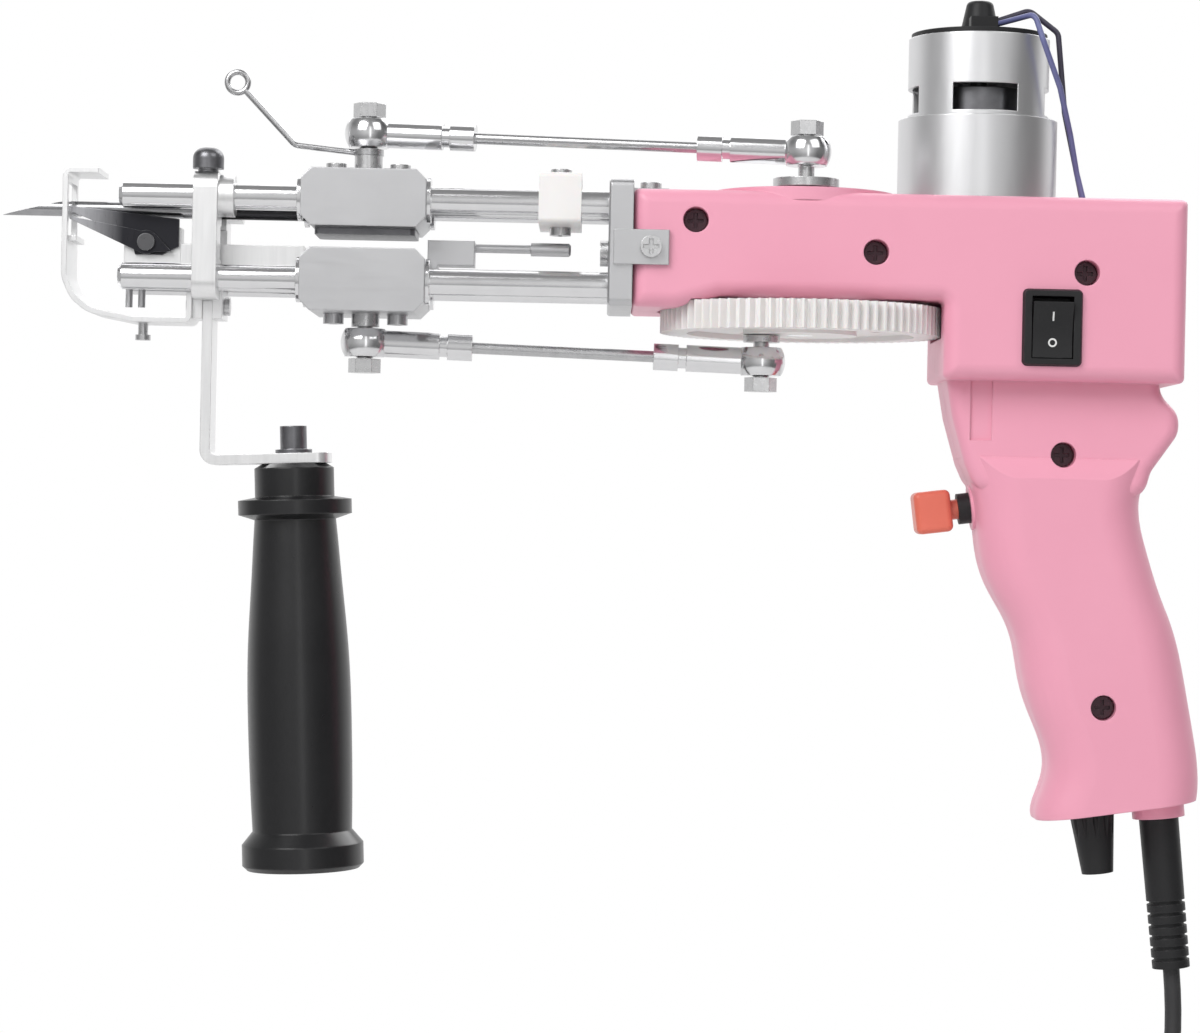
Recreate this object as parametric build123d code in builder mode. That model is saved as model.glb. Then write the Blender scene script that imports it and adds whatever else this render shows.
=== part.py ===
"""Tufting tool: motor and crank in a pistol housing, needle and scissor carriages on guide rods.

Millimetres. The origin is in the middle of the hand grip, +X points to the back of the tool
(the needle points along -X), +Z points up and the side with the switch faces -Y.
"""

from build123d import *
import math
import os

os.makedirs("parts", exist_ok=True)

# Which end of a turned form stands on its place
low_end = (Align.CENTER, Align.CENTER, Align.MIN)
high_end = (Align.CENTER, Align.CENTER, Align.MAX)

# Shared clearances
running_gap = 0.05  # shaft in a bore, on the radius
seat_gap = 0.3  # moving piece over a fixed one
overrun = 1.0  # how far a cut runs past the face it opens

# Guide rods
rod_d = 8.0
rod_pitch = 24.0
upper_rod_z = 120.6
lower_rod_z = 96.4
rod_front_x = -287.2
rod_tip_chamfer = 1.2
rod_sides = (-rod_pitch / 2, rod_pitch / 2)

# Housing: one side view outline, two half shells
housing_front_x = -135.0
housing_rear_x = 27.2
housing_top_z = 124.3
arm_floor_z = 93.3
chin_floor_z = 89.7
chin_length = 13.0
box_front_x = -43.5
box_floor_z = 70.4
box_half_width = 28.0
neck_half_width = 17.0
grip_half_width = 20.0
housing_wall = 2.6
grip_wall = 4.0
housing_edge_r = 4.5
housing_corner_r = 1.6
grip_edge_r = 13.0
grip_foot_half_width = 18.0
neck_edge_r = 4.0
parting_gap = 0.2

# Side view of neck and grip, front edge from the top down, then back edge from the bottom up
neck_outline = [(-43.0, 80.0), (-39.5, 59.6), (-35.6, 46.0), (-32.0, 38.0), (17.4, 36.0),
                (19.6, 44.5), (27.6, 56.0), (27.6, 61.6), (22.0, 67.4), (21.0, 80.0)]
# Grip sections from the top down, each as height, front X and back X
grip_sections = [(48.0, -36.4, 20.6), (42.0, -33.6, 18.6), (33.0, -31.4, 17.2), (23.0, -30.2, 19.2),
                 (14.0, -28.2, 22.0), (2.0, -22.0, 26.6), (-11.0, -17.4, 30.6), (-31.0, -11.6, 34.6),
                 (-45.0, -8.2, 36.7), (-53.0, -10.4, 36.4), (-62.0, -9.4, 33.4)]
grip_foot_front_z = -62.4
grip_foot_back_z = -50.1
grip_cut_reach = 120.0
neck_corner_r = 7.0
grip_shoulder_top_z = 48.6
grip_shoulder_floor_z = 41.6
# Shallow sunk panel on each side of the neck, as X and Z of its lowest and highest corner
neck_panel = ((-34.4, 52.8), (-28.0, box_floor_z))
neck_panel_depth = 0.8

# Housing screws, each as X and Z of its axis
housing_screw_places = [(-116.8, 115.2), (-64.0, 106.8), (-2.4, 102.0), (-6.7, 49.0), (6.4, -25.3)]
screw_recess_d = 7.5
screw_head_d = 6.6
screw_head_h = 2.6
screw_head_depth = 4.4
screw_shank_d = 3.5
screw_boss_d = 9.5
screw_slot_w = 1.1
screw_slot_depth = 1.0
screw_grip_share = 0.7

# End block that carries the rods, with an ear on each side and one on top
end_block_length = 7.2
end_block_top_z = 126.7
end_block_corner_r = 2.0
ear_thickness = 1.6
ear_reach = 10.5
ear_height = 10.2
ear_z = 106.8
top_ear_width = 18.0
trip_hole_d = 7.0
pan_head_d = 6.4
pan_head_h = 2.4
pan_shank_d = 3.0
pan_shank_length = 5.0
front_screw_y = 8.5

# Crank, gears and motor
gear_module = 1.0
gear_teeth = 82
pinion_teeth = 22
gear_face = 8.5
gear_floor_z = 83.5
gear_backlash = 0.12
gear_room = 0.8
tooth_root_share = 0.78
tooth_pitch_share = 0.485
tooth_tip_share = 0.26
tooth_foot = 1.25
gear_web_recess = 1.6
gear_hub_d = 34.0
gear_rim_inner_d = 68.0
gear_web_holes = 6
gear_web_hole_d = 9.0
crank_x = -84.2
crank_shaft_d = 8.0
crank_throw = 15.5
lower_throw = 11.5
crank_disc_d = 43.0
crank_disc_h = 4.0
crank_disc_top_z = 125.9
disc_opening_gap = 1.5
dome_rim = 5.0
dome_h = 1.3
bearing_od = 22.0
bearing_width = 7.0
bearing_lip = 1.5
bracket_wall = 4.0
bracket_flange_h = 3.0
bracket_flange_d = 44.0
shaft_hole_d = 14.0
motor_can_d = 42.0
motor_can_wall = 1.5
motor_floor_z = 108.0
motor_top_z = 173.0
flux_ring_wall = 2.7
flux_ring_floor_z = 113.0
flux_ring_top_z = 148.5
flux_slot_w = 3.0
motor_opening_gap = 0.6
motor_mount_h = 3.0
motor_mount_length = 46.0
motor_shaft_d = 5.0
motor_boss_d = 17.5
motor_boss_h = 2.4
armature_d = 30.0
armature_length = 34.0
end_cap_h = 2.6
end_boss_d = 12.0
end_boss_tip_d = 7.6
end_boss_h = 10.2
brush_w = 8.0
brush_l = 12.0
brush_h = 5.5
vent_w = 19.0
vent_h = 8.0
vent_z = 154.0

# Motor wires from the end cap over the edge of the can into the housing. Each point is the distance
# from the can's side, the angle round the motor, and the height
wire_d = 1.7
wire_routes = [
    [(-15.2, 14, 179.4), (-6.0, 4, 182.6), (2.8, 3, 176.0), (5.2, 2.5, 152.0), (8.8, 2.5, 136.0),
     (11.8, 2.5, 122.6)],
    [(-15.0, -38, 177.6), (0.6, -48, 179.0), (3.4, -46, 171.0), (4.6, -26, 158.0), (6.6, -8, 145.0),
     (8.8, -2.5, 134.0), (11.8, -2.5, 122.6)]]
wire_bend_r = 3.0
wire_hole_w = 8.0
wire_hole_l = 4.6

# Sliders
slider_x = -214.6
slider_length = 37.0
upper_slider_h = 17.0
lower_slider_h = 18.6
slider_width = 39.0
slider_end_chamfer = 3.0
bushing_od = 12.0
bushing_flange_d = 13.6
bushing_flange_h = 1.2
small_screw_d = 6.2
small_screw_h = 3.0
small_screw_shank_d = 3.0
small_screw_depth = 4.0
small_screw_offset = 9.6
hex_socket_share = 0.5

# Ball joints of the connecting rods
ball_d = 10.0
eye_d = 14.6
eye_h = 8.4
stud_neck_d = 4.8
stud_d = 8.4
stud_seat_depth = 7.0
nut_h = 4.2
upper_front_ball_z = 141.3
upper_rear_ball_z = 136.9
lower_front_ball_z = 78.6
lower_rear_ball_z = 75.4
rod_end_d = 8.0
rod_end_waist_d = 6.2
rod_end_first_length = 22.5
rod_end_waist_length = 2.4
rod_end_second_length = 7.4
rod_end_start = 6.0
link_rod_d = 3.4
link_rod_insert = 6.0
rear_flange_d = 19.5
rear_flange_h = 2.6
lower_flange_d = 11.0
lower_flange_h = 2.0

# Needle and its clamp
needle_z = 117.0
needle_d = 4.6
needle_bore_d = 3.0
needle_tip_x = -324.0
needle_point_length = 19.0
needle_insert = 24.0
needle_eye_length = 9.0
needle_eye_w = 1.8
clamp_plate_length = 30.0
clamp_plate_h = 1.9
clamp_plate_width = 22.0

# Yarn guide wire
guide_wire_d = 1.8
guide_washer_d = 9.0
guide_knee = (-236.8, 137.5)
guide_end = (-252.2, 153.7)
guide_eye_d = 6.2
guide_knee_r = 3.0

# Stop collar on the upper rods
collar_x = -156.7
collar_length = 12.6
collar_height = 15.0
collar_width = 36.0
collar_edge_r = 1.5

# Scissors
arm_half_width = 4.0
arm_floor_gap = 1.1
arm_height = 7.6
scissor_block_front_x = -287.0
scissor_block_rear_x = -270.0
scissor_block_top_z = 111.7
scissor_pivot = (-280.0, 107.0)
blade_thickness = 1.5
blade_inner_y = -2.9
blade_hub_r = 3.6
pivot_pin_d = 3.0
pivot_head_d = 5.2
pivot_head_h = 1.2
upper_blade_outline = [(-270.5, 114.2), (-304.0, 117.6), (-304.6, 116.6), (-285.0, 108.6),
                       (-283.5, 103.4), (-275.5, 103.4), (-270.5, 106.0)]
lower_blade_outline = [(-277.2, 109.4), (-281.6, 110.4), (-303.2, 114.4), (-303.0, 113.5),
                       (-281.6, 103.8), (-272.5, 104.4)]
clamp_screw_d = 2.2
clamp_screw_floor_z = 87.8
clamp_screw_xs = (-285.6, -281.8)

# Trip rod behind the lower slider
trip_block_length = 14.0
trip_block_floor_z = 102.0
trip_block_top_z = 109.4
trip_block_half_width = 5.0
trip_rod_z = 107.6
trip_rod_d = 2.6
trip_rod_end_x = -153.4
trip_tip_d = 4.0
trip_tip_length = 12.0

# Front plate, foot and side handle, which slide together along the rods
plate_x = -261.2
plate_thickness = 7.2
plate_half_width = 19.0
plate_top_z = 127.6
plate_floor_z = 90.0
plate_corner_r = 5.0
window_half_width = 6.5
window_floor_z = 98.5
window_top_z = 121.8
window_wide_half = 9.0
window_wide_floor_z = 102.0
window_wide_top_z = 112.0
prong_half_width = 7.8
prong_floor_z = 84.5
prong_thickness = 2.9
collet_d = 12.4
collet_length = 4.6
knob_d = 9.2
knob_h = 6.2
knob_stem_h = 1.0
knob_dome_r = 3.2
knob_y = -rod_pitch / 2
foot_thickness = 1.6
foot_half_width = 10.0
foot_strap_z = 83.0
foot_tab_top_z = 92.0
foot_path = [(-283.6, 83.0), (-296.6, 85.4), (-301.8, 89.6), (-304.6, 96.0), (-304.6, 128.6),
             (-294.0, 128.6)]
foot_bends = [2.4, 10.0, 10.0, 10.0, 10.0, 2.4]
foot_slot_half_width = 7.6
foot_slot_floor_z = 108.4
foot_slot_top_z = 124.5
foot_tongue_length = 4.0
foot_cross_screw_z = 88.6
foot_cross_head_d = 5.5
foot_cross_front_h = 1.0
foot_stop_x = -281.2
foot_stop_d = 3.0
foot_stop_head_d = 4.6
foot_stop_below = 3.4
foot_stop_head_h = 1.6
strap_thickness = 3.0
strap_half_width = 7.0
strap_top_z = 92.6
handle_tilt = 2.5
handle_top = (-235.1, 42.0)
strap_leg_end_x = -224.0
strap_bend_r = 3.0
handle_length = 121.5
# The turned handle, each point as its radius and its distance from the top
handle_collar = [(9.6, 0.0), (11.9, 1.4), (11.9, 10.0), (17.0, 10.9), (17.0, 15.2), (12.2, 16.8)]
# Its body, each point as its radius and its share of the length
handle_body = [(13.4, 0.27), (15.1, 0.46), (15.5, 0.68), (14.9, 0.905)]
handle_start_slope = 0.09
handle_end_slope = -0.04
handle_base_r = 18.2
handle_base_h = 7.6
handle_base_edge_r = 1.4
handle_bore_d = 5.2
handle_bore_depth = 30.0
bolt_d = 5.0
bolt_head_d = 8.0
bolt_head_h = 7.0
bolt_washer_d = 11.0
bolt_washer_h = 1.2

# Rocker switch
rocker_x = -12.3
rocker_z = 85.8
bezel_length = 22.6
bezel_width = 17.6
bezel_h = 1.6
bezel_corner_r = 1.6
switch_length = 19.6
switch_width = 14.4
switch_depth = 13.0
rocker_length = 16.4
rocker_width = 11.6
rocker_pivot_depth = 2.0
rocker_tilt = 9.0
rocker_swing_room = 0.9
rocker_pocket_depth = 4.9
rocker_end_rise = 4.85
rocker_dish = 1.4
rocker_waist_share = 0.96
rocker_waist_rise = 1.0
rocker_foot_half = 3.0
rocker_foot_drop = 3.5
trunnion_d = 2.4
trunnion_length = 0.9
bezel_taper = 20.0

# Trigger button
trigger_at = (-49.0, 30.7)
trigger_angle = 7.5
trigger_length = 11.0
trigger_height = 12.6
trigger_width = 12.6
trigger_edge_r = 1.8
trigger_stem_d = 6.0
trigger_stem_length = 17.0
trigger_bushing_start = 13.2
trigger_bushing_d = 9.2
trigger_boss_start = 16.8
trigger_boss_d = 13.4
trigger_boss_length = 6.0
switch_body_start = 22.5
switch_body_length = 16.0
switch_body_height = 14.0
switch_body_half_width = 9.0
switch_bore_depth = 10.0

# Speed knob under the grip
knob_axis_at = (6.2, -56.6)
knob_axis_angle = 6.8
speed_knob_d = 13.3
speed_knob_tip_d = 9.4
speed_knob_length = 18.0
speed_knob_gap = 1.2
speed_knob_flutes = 12
speed_flute_d = 1.6
pot_shaft_d = 5.8
pot_shaft_length = 10.0
pot_thread_d = 7.4
pot_body_d = 17.0
pot_body_h = 9.0

# Strain relief and power cord
relief_at = (25.6, -51.0)
relief_end = (31.1, -103.5)
relief_top_d = 11.8
relief_end_d = 11.2
relief_boss_d = 15.6
relief_boss_length = 7.6
relief_ribs = 6
relief_rib_gap = 1.1
relief_rib_depth = 0.7
relief_ribbed_share = 0.45
relief_flange_depth = 5.0
relief_flange_h = 2.0
cord_d = 5.0
cord_sides = 8
cord_arc_share = 0.45
cord_route = [(31.1, 0.0, -103.5), (32.5, 0.0, -117.4), (30.6, -3.3, -136.9),
              (29.6, -7.3, -156.2), (40.4, -9.3, -172.4), (58.29, -9.3, -179.63)]
coil_outer_r = 36.5
coil_pitch = 6.2
coil_layers = 4
coil_turns_per_layer = 2.5
coil_climb_turns = 0.5
coil_samples = 4
coil_gap_samples = 48
tangent_step = 0.001
tie_width = 8.0
tie_thickness = 1.4
tie_gap = 0.5
tie_angle = 205.0
plug_lead = 20.0
plug_length = 34.0
plug_width = 26.0
plug_thickness = 13.0
plug_neck_d = 8.0
plug_neck_length = 14.0
plug_nose_width = 33.0
plug_edge_r = 3.0
pin_d = 4.0
pin_length = 19.0
pin_spacing = 18.6
pin_insert = 6.0

relief_neck_d = 8.6
relief_neck_length = 14.0
mesh_slot_half_width = 16.0
trim_chamfer = 0.6
collar_rise = 1.2


def direction_xz(angle_degrees):
    """A unit vector in the XZ plane, turned up from +X."""
    turn = math.radians(angle_degrees)
    return Vector(math.cos(turn), 0, math.sin(turn))


# Places worked out from the sizes above
relief_direction = Vector(relief_end[0] - relief_at[0], 0, relief_end[1] - relief_at[1]).normalized()
trigger_direction = direction_xz(trigger_angle)
knob_direction = direction_xz(knob_axis_angle - 90)
screw_half_widths = [box_half_width, box_half_width, box_half_width, neck_half_width, grip_half_width]
end_block_front_x = housing_front_x - end_block_length
gear_top_z = gear_floor_z + gear_face
centre_distance = gear_module * (gear_teeth + pinion_teeth) / 2
motor_x = crank_x + centre_distance
flux_ring_d = motor_can_d + 2 * flux_ring_wall
motor_opening_d = flux_ring_d + 2 * motor_opening_gap
disc_opening_d = crank_disc_d + 2 * disc_opening_gap
wire_hole_x = motor_x + motor_can_d / 2 + wire_routes[0][-1][0]
upper_slider_top_z = upper_rod_z + upper_slider_h / 2
upper_slider_floor_z = upper_rod_z - upper_slider_h / 2
lower_slider_floor_z = lower_rod_z - lower_slider_h / 2
slider_front_x = slider_x - slider_length / 2
slider_rear_x = slider_x + slider_length / 2
upper_front_ball = Vector(slider_x, 0, upper_front_ball_z)
upper_rear_ball = Vector(crank_x, -crank_throw, upper_rear_ball_z)
lower_front_ball = Vector(slider_x, 0, lower_front_ball_z)
lower_rear_ball = Vector(crank_x - lower_throw, 0, lower_rear_ball_z)


def box_between(low, high, mode=Mode.ADD):
    """A box from its lowest to its highest corner, in the part in work."""
    middle = tuple((a + b) / 2 for a, b in zip(low, high))
    with Locations(middle):
        Box(*(b - a for a, b in zip(low, high)), mode=mode)


def bar_x(diameter, x_from, x_to, y, z, mode=Mode.ADD):
    """A round bar or bore along X."""
    with Locations(((x_from + x_to) / 2, y, z)):
        Cylinder(diameter / 2, x_to - x_from, rotation=(0, 90, 0), mode=mode)


def bar_y(diameter, y_from, y_to, x, z, mode=Mode.ADD):
    """A round bar or bore along Y."""
    with Locations((x, (y_from + y_to) / 2, z)):
        Cylinder(diameter / 2, y_to - y_from, rotation=(90, 0, 0), mode=mode)


def bar_z(diameter, z_from, z_to, x, y, mode=Mode.ADD):
    """A round bar or bore along Z."""
    with Locations((x, y, (z_from + z_to) / 2)):
        Cylinder(diameter / 2, z_to - z_from, mode=mode)


def guide_bores(diameter, x_from, x_to, z, mode=Mode.SUBTRACT):
    """A pair of bores, or of bars, on the axes of one pair of guide rods."""
    for y in rod_sides:
        bar_x(diameter, x_from, x_to, y, z, mode=mode)


def side_face(points, corner_r, inset=0):
    """A face in the XZ plane with rounded corners, drawn smaller all round by the inset."""
    with BuildSketch(Plane.XZ) as outline:
        with BuildLine():
            Polyline(*points, close=True)
        make_face()
        fillet(outline.vertices(), radius=corner_r)
        if inset:
            offset(amount=-inset)
    return outline.sketch


def plate_y(face, y_from, y_to, mode=Mode.ADD):
    """A plate of the given XZ face that fills from one Y to a larger one."""
    extrude(face.moved(Location((0, y_to, 0))), amount=y_to - y_from, mode=mode)


# Housing shells
box_outline = [(housing_front_x, housing_top_z), (housing_rear_x, housing_top_z),
               (housing_rear_x, box_floor_z), (box_front_x, box_floor_z),
               (box_front_x, arm_floor_z), (housing_front_x + 2 * chin_length, arm_floor_z),
               (housing_front_x + chin_length, chin_floor_z), (housing_front_x, chin_floor_z)]


def raised_side(points, corner_r, half_width, edge_r):
    """One half of a housing form: its outline out to its half width, with the outer edge round."""
    with BuildPart() as form:
        plate_y(side_face(points, corner_r), -half_width, -parting_gap / 2)
        outer_edges = form.faces().sort_by(Axis.Y)[0].edges()
        fillet(outer_edges, radius=edge_r)
    return form.part


def hollow_side(points, corner_r, half_width, wall):
    """The space inside one half of a housing form."""
    with BuildPart() as space:
        plate_y(side_face(points, corner_r, inset=wall), -(half_width - wall), overrun)
    return space.part


def grip_form(inset):
    """The whole grip as a loft through its sections, drawn smaller all round by the inset."""
    top_z = grip_sections[0][0]
    foot_z = grip_sections[-1][0]
    with BuildPart() as grip:
        for z, front, back in grip_sections:
            taper_share = (top_z - z) / (top_z - foot_z)
            half_width = grip_half_width + (grip_foot_half_width - grip_half_width) * taper_share
            with BuildSketch(Plane.XY.offset(z)):
                with Locations(((front + back) / 2, 0)):
                    RectangleRounded(back - front - 2 * inset, 2 * (half_width - inset),
                                     grip_edge_r - inset)
        loft()
        # The foot of the grip is cut on a slope, front edge lowest
        with BuildSketch(Plane.XZ.offset(-grip_cut_reach / 2)):
            with BuildLine():
                Polyline((grip_sections[-1][1] - grip_half_width, grip_foot_front_z + inset),
                         (grip_sections[-1][2] + grip_half_width, grip_foot_back_z + inset),
                         (grip_sections[-1][2] + grip_half_width, foot_z - grip_half_width),
                         (grip_sections[-1][1] - grip_half_width, foot_z - grip_half_width), close=True)
            make_face()
        extrude(amount=grip_cut_reach, mode=Mode.SUBTRACT)
        # Sloped shoulders lead from the neck's narrower sides out to the grip
        with BuildSketch(Plane.YZ.offset(grip_sections[0][1] - grip_half_width)):
            with BuildLine():
                Polyline((-neck_half_width + inset, grip_shoulder_top_z - inset),
                         (-grip_half_width + inset, grip_shoulder_floor_z - inset),
                         (-grip_half_width + inset, foot_z), (grip_half_width - inset, foot_z),
                         (grip_half_width - inset, grip_shoulder_floor_z - inset),
                         (neck_half_width - inset, grip_shoulder_top_z - inset), close=True)
            make_face()
        extrude(amount=grip_cut_reach, mode=Mode.INTERSECT)
    return grip.part


def half_housing(is_left):
    """The half shell on the -Y side, the right one still to be mirrored."""
    with BuildPart() as shell:
        add(raised_side(box_outline, housing_corner_r, box_half_width, housing_edge_r))
        add(raised_side(neck_outline, neck_corner_r, neck_half_width, neck_edge_r))
        add(grip_form(0))
        # Low dome round the crank disc
        bar_z(disc_opening_d + 2 * dome_rim, housing_top_z - housing_wall, housing_top_z + dome_h,
              crank_x, 0)
        # Round boss where the trigger comes out
        with Locations(Plane(origin=(trigger_at[0], 0, trigger_at[1]), z_dir=trigger_direction)):
            with Locations((0, 0, trigger_boss_start)):
                Cylinder(trigger_boss_d / 2, trigger_boss_length, align=low_end)
        # Boss for the strain relief
        with Locations(Plane(origin=(relief_at[0], 0, relief_at[1]), z_dir=relief_direction)):
            Cylinder(relief_boss_d / 2, relief_boss_length, align=low_end)
        # The inside
        add(hollow_side(box_outline, housing_corner_r, box_half_width, housing_wall), mode=Mode.SUBTRACT)
        add(grip_form(grip_wall), mode=Mode.SUBTRACT)
        add(hollow_side(neck_outline, neck_corner_r, neck_half_width, housing_wall), mode=Mode.SUBTRACT)
        # Screw bosses, from the parting plane to the outer wall
        for place, half_width in zip(housing_screw_places, screw_half_widths):
            bar_y(screw_boss_d, -half_width + housing_wall, -parting_gap / 2, *place)
        for place, half_width in zip(housing_screw_places, screw_half_widths):
            if is_left:
                bar_y(screw_recess_d, -box_half_width - overrun,
                      -half_width + screw_head_depth + screw_head_h, *place, mode=Mode.SUBTRACT)
                bar_y(screw_shank_d, -half_width, overrun, *place, mode=Mode.SUBTRACT)
            else:
                bar_y(screw_shank_d, -half_width * screw_grip_share, overrun, *place, mode=Mode.SUBTRACT)
        # Openings in the top for crank disc, motor and wires
        bar_z(disc_opening_d, housing_top_z - housing_edge_r, housing_top_z + overrun + dome_h,
              crank_x, 0, mode=Mode.SUBTRACT)
        bar_z(motor_opening_d, housing_top_z - housing_edge_r, housing_top_z + overrun,
              motor_x, 0, mode=Mode.SUBTRACT)
        box_between((wire_hole_x - wire_hole_l / 2, -wire_hole_w / 2, housing_top_z - housing_edge_r),
                    (wire_hole_x + wire_hole_l / 2, wire_hole_w / 2, housing_top_z + overrun),
                    mode=Mode.SUBTRACT)
        # Hole in the arm floor for the crankshaft and the gear's hub
        bar_z(shaft_hole_d, gear_top_z, arm_floor_z + housing_wall + overrun, crank_x, 0,
              mode=Mode.SUBTRACT)
        # Slot in the front of the box where gear and pinion mesh
        box_between((box_front_x - overrun, -mesh_slot_half_width, gear_floor_z - gear_room),
                    (box_front_x + housing_wall + overrun, mesh_slot_half_width, arm_floor_z),
                    mode=Mode.SUBTRACT)
        # Room for the gear under the arm and its chin
        bar_z(gear_module * (gear_teeth + 2) + 2 * gear_room, gear_floor_z - gear_room, gear_top_z + seat_gap,
              crank_x, 0, mode=Mode.SUBTRACT)
        # Holes for the screws of the end block's ears
        bar_y(pan_shank_d, -box_half_width - overrun, -box_half_width + pan_shank_length,
              housing_front_x + ear_reach / 2, ear_z, mode=Mode.SUBTRACT)
        bar_z(pan_shank_d, housing_top_z - pan_shank_length, housing_top_z + overrun,
              housing_front_x + ear_reach / 2, 0, mode=Mode.SUBTRACT)
        # Sunk panels on the sides of the neck
        box_between((neck_panel[0][0], -neck_half_width - overrun, neck_panel[0][1]),
                    (neck_panel[1][0], -neck_half_width + neck_panel_depth, neck_panel[1][1]),
                    mode=Mode.SUBTRACT)
        # Space for the trigger's bushing, the knob's shaft and the cord
        with Locations(Plane(origin=(trigger_at[0], 0, trigger_at[1]), z_dir=trigger_direction)):
            Cylinder(trigger_bushing_d / 2 + running_gap, switch_body_start,
                     align=low_end, mode=Mode.SUBTRACT)
        with Locations(Plane(origin=(knob_axis_at[0], 0, knob_axis_at[1]), z_dir=knob_direction)):
            Cylinder(pot_thread_d / 2 + running_gap, 2 * pot_shaft_length, mode=Mode.SUBTRACT)
        with Locations(Plane(origin=(relief_at[0], 0, relief_at[1]), z_dir=relief_direction)):
            Cylinder(relief_neck_d / 2, 2 * relief_neck_length, mode=Mode.SUBTRACT)
        if is_left:
            box_between((rocker_x - switch_width / 2, -box_half_width - overrun,
                         rocker_z - switch_length / 2),
                        (rocker_x + switch_width / 2, -box_half_width + housing_wall + overrun,
                         rocker_z + switch_length / 2), mode=Mode.SUBTRACT)
        # Nothing of this half reaches past the parting plane
        box_between((housing_front_x - overrun, -parting_gap / 2, relief_end[1]),
                    (housing_rear_x + box_half_width, box_half_width * 2, motor_top_z), mode=Mode.SUBTRACT)
    return shell.part


with BuildPart() as housing_left:
    add(half_housing(is_left=True))

with BuildPart() as housing_right:
    add(half_housing(is_left=False).mirror(Plane.XZ))

housing_left.part.label = "housing_left"
export_step(housing_left.part, "parts/housing_left.step")
housing_right.part.label = "housing_right"
export_step(housing_right.part, "parts/housing_right.step")

# Housing screws, heads in the recesses of the left half
with BuildPart() as housing_screws:
    for (x, z), half_width in zip(housing_screw_places, screw_half_widths):
        head_floor_y = -half_width + screw_head_depth
        bar_y(screw_head_d, head_floor_y, head_floor_y + screw_head_h, x, z)
        bar_y(screw_shank_d - 2 * running_gap, head_floor_y, half_width * screw_grip_share, x, z)
        for size in ((screw_slot_w, screw_head_d * screw_grip_share),
                     (screw_head_d * screw_grip_share, screw_slot_w)):
            with Locations((x, head_floor_y, z)):
                Box(size[0], 2 * screw_slot_depth, size[1], mode=Mode.SUBTRACT)
housing_screws.part.label = "housing_screws"
export_step(housing_screws.part, "parts/housing_screws.step")

# Aluminium end block, clamped round the front of the housing by its three ears
with BuildPart() as end_block:
    with BuildSketch(Plane.YZ.offset(end_block_front_x)):
        with Locations((0, (end_block_top_z + chin_floor_z) / 2)):
            RectangleRounded(2 * box_half_width, end_block_top_z - chin_floor_z, end_block_corner_r)
    extrude(amount=end_block_length)
    for side in (-1, 1):
        ear_y = sorted((side * box_half_width, side * (box_half_width + ear_thickness)))
        box_between((end_block_front_x + ear_thickness, ear_y[0], ear_z - ear_height / 2),
                    (housing_front_x + ear_reach, ear_y[1], ear_z + ear_height / 2))
        bar_y(pan_shank_d, ear_y[0] - overrun, ear_y[1] + overrun, housing_front_x + ear_reach / 2,
              ear_z, mode=Mode.SUBTRACT)
    box_between((end_block_front_x + ear_thickness, -top_ear_width / 2, housing_top_z),
                (housing_front_x + ear_reach, top_ear_width / 2, housing_top_z + ear_thickness))
    bar_z(pan_shank_d, housing_top_z - overrun, housing_top_z + ear_thickness + overrun,
          housing_front_x + ear_reach / 2, 0, mode=Mode.SUBTRACT)
    for z in (upper_rod_z, lower_rod_z):
        guide_bores(rod_d, end_block_front_x - overrun, housing_front_x + overrun, z)
    bar_x(trip_hole_d, end_block_front_x - overrun, housing_front_x + overrun, 0, trip_rod_z,
          mode=Mode.SUBTRACT)
    for y in (-front_screw_y, front_screw_y):
        bar_x(pan_shank_d, end_block_front_x - overrun, end_block_front_x + pan_shank_length, y, ear_z,
              mode=Mode.SUBTRACT)
    chamfer(end_block.faces().sort_by(Axis.X)[0].outer_wire().edges(), length=trim_chamfer)
end_block.part.label = "end_block"
export_step(end_block.part, "parts/end_block.step")


def pan_screw(seat, away):
    """A pan head screw whose head stands on its seat, away from the piece that it holds."""
    with Locations(Plane(origin=seat, z_dir=away)):
        Cylinder(pan_head_d / 2, pan_head_h, align=low_end)
        with Locations((0, 0, pan_head_h)):
            Box(screw_slot_w, pan_head_d * screw_grip_share, 2 * screw_slot_depth, mode=Mode.SUBTRACT)
            Box(pan_head_d * screw_grip_share, screw_slot_w, 2 * screw_slot_depth, mode=Mode.SUBTRACT)
        Cylinder(pan_shank_d / 2 - running_gap, pan_shank_length,
                 align=high_end)


# Pan head screws of the end block and of the stop collar
collar_floor_z = upper_rod_z + collar_rise - collar_height / 2
collar_top_z = upper_rod_z + collar_rise + collar_height / 2
ear_screw_x = housing_front_x + ear_reach / 2
with BuildPart() as frame_screws:
    for side in (-1, 1):
        pan_screw((ear_screw_x, side * (box_half_width + ear_thickness), ear_z), (0, side, 0))
        pan_screw((end_block_front_x, side * front_screw_y, ear_z), (-1, 0, 0))
    pan_screw((ear_screw_x, 0, housing_top_z + ear_thickness), (0, 0, 1))
    pan_screw((collar_x, 0, collar_top_z), (0, 0, 1))
    pan_screw((collar_x, 0, collar_floor_z), (0, 0, -1))
frame_screws.part.label = "frame_screws"
export_step(frame_screws.part, "parts/frame_screws.step")

# Guide rods
with BuildPart() as upper_guide_rods:
    guide_bores(rod_d, rod_front_x, housing_front_x, upper_rod_z, mode=Mode.ADD)
    chamfer(upper_guide_rods.faces().group_by(Axis.X)[0].edges(), length=rod_tip_chamfer)
upper_guide_rods.part.label = "upper_guide_rods"
export_step(upper_guide_rods.part, "parts/upper_guide_rods.step")

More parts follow.
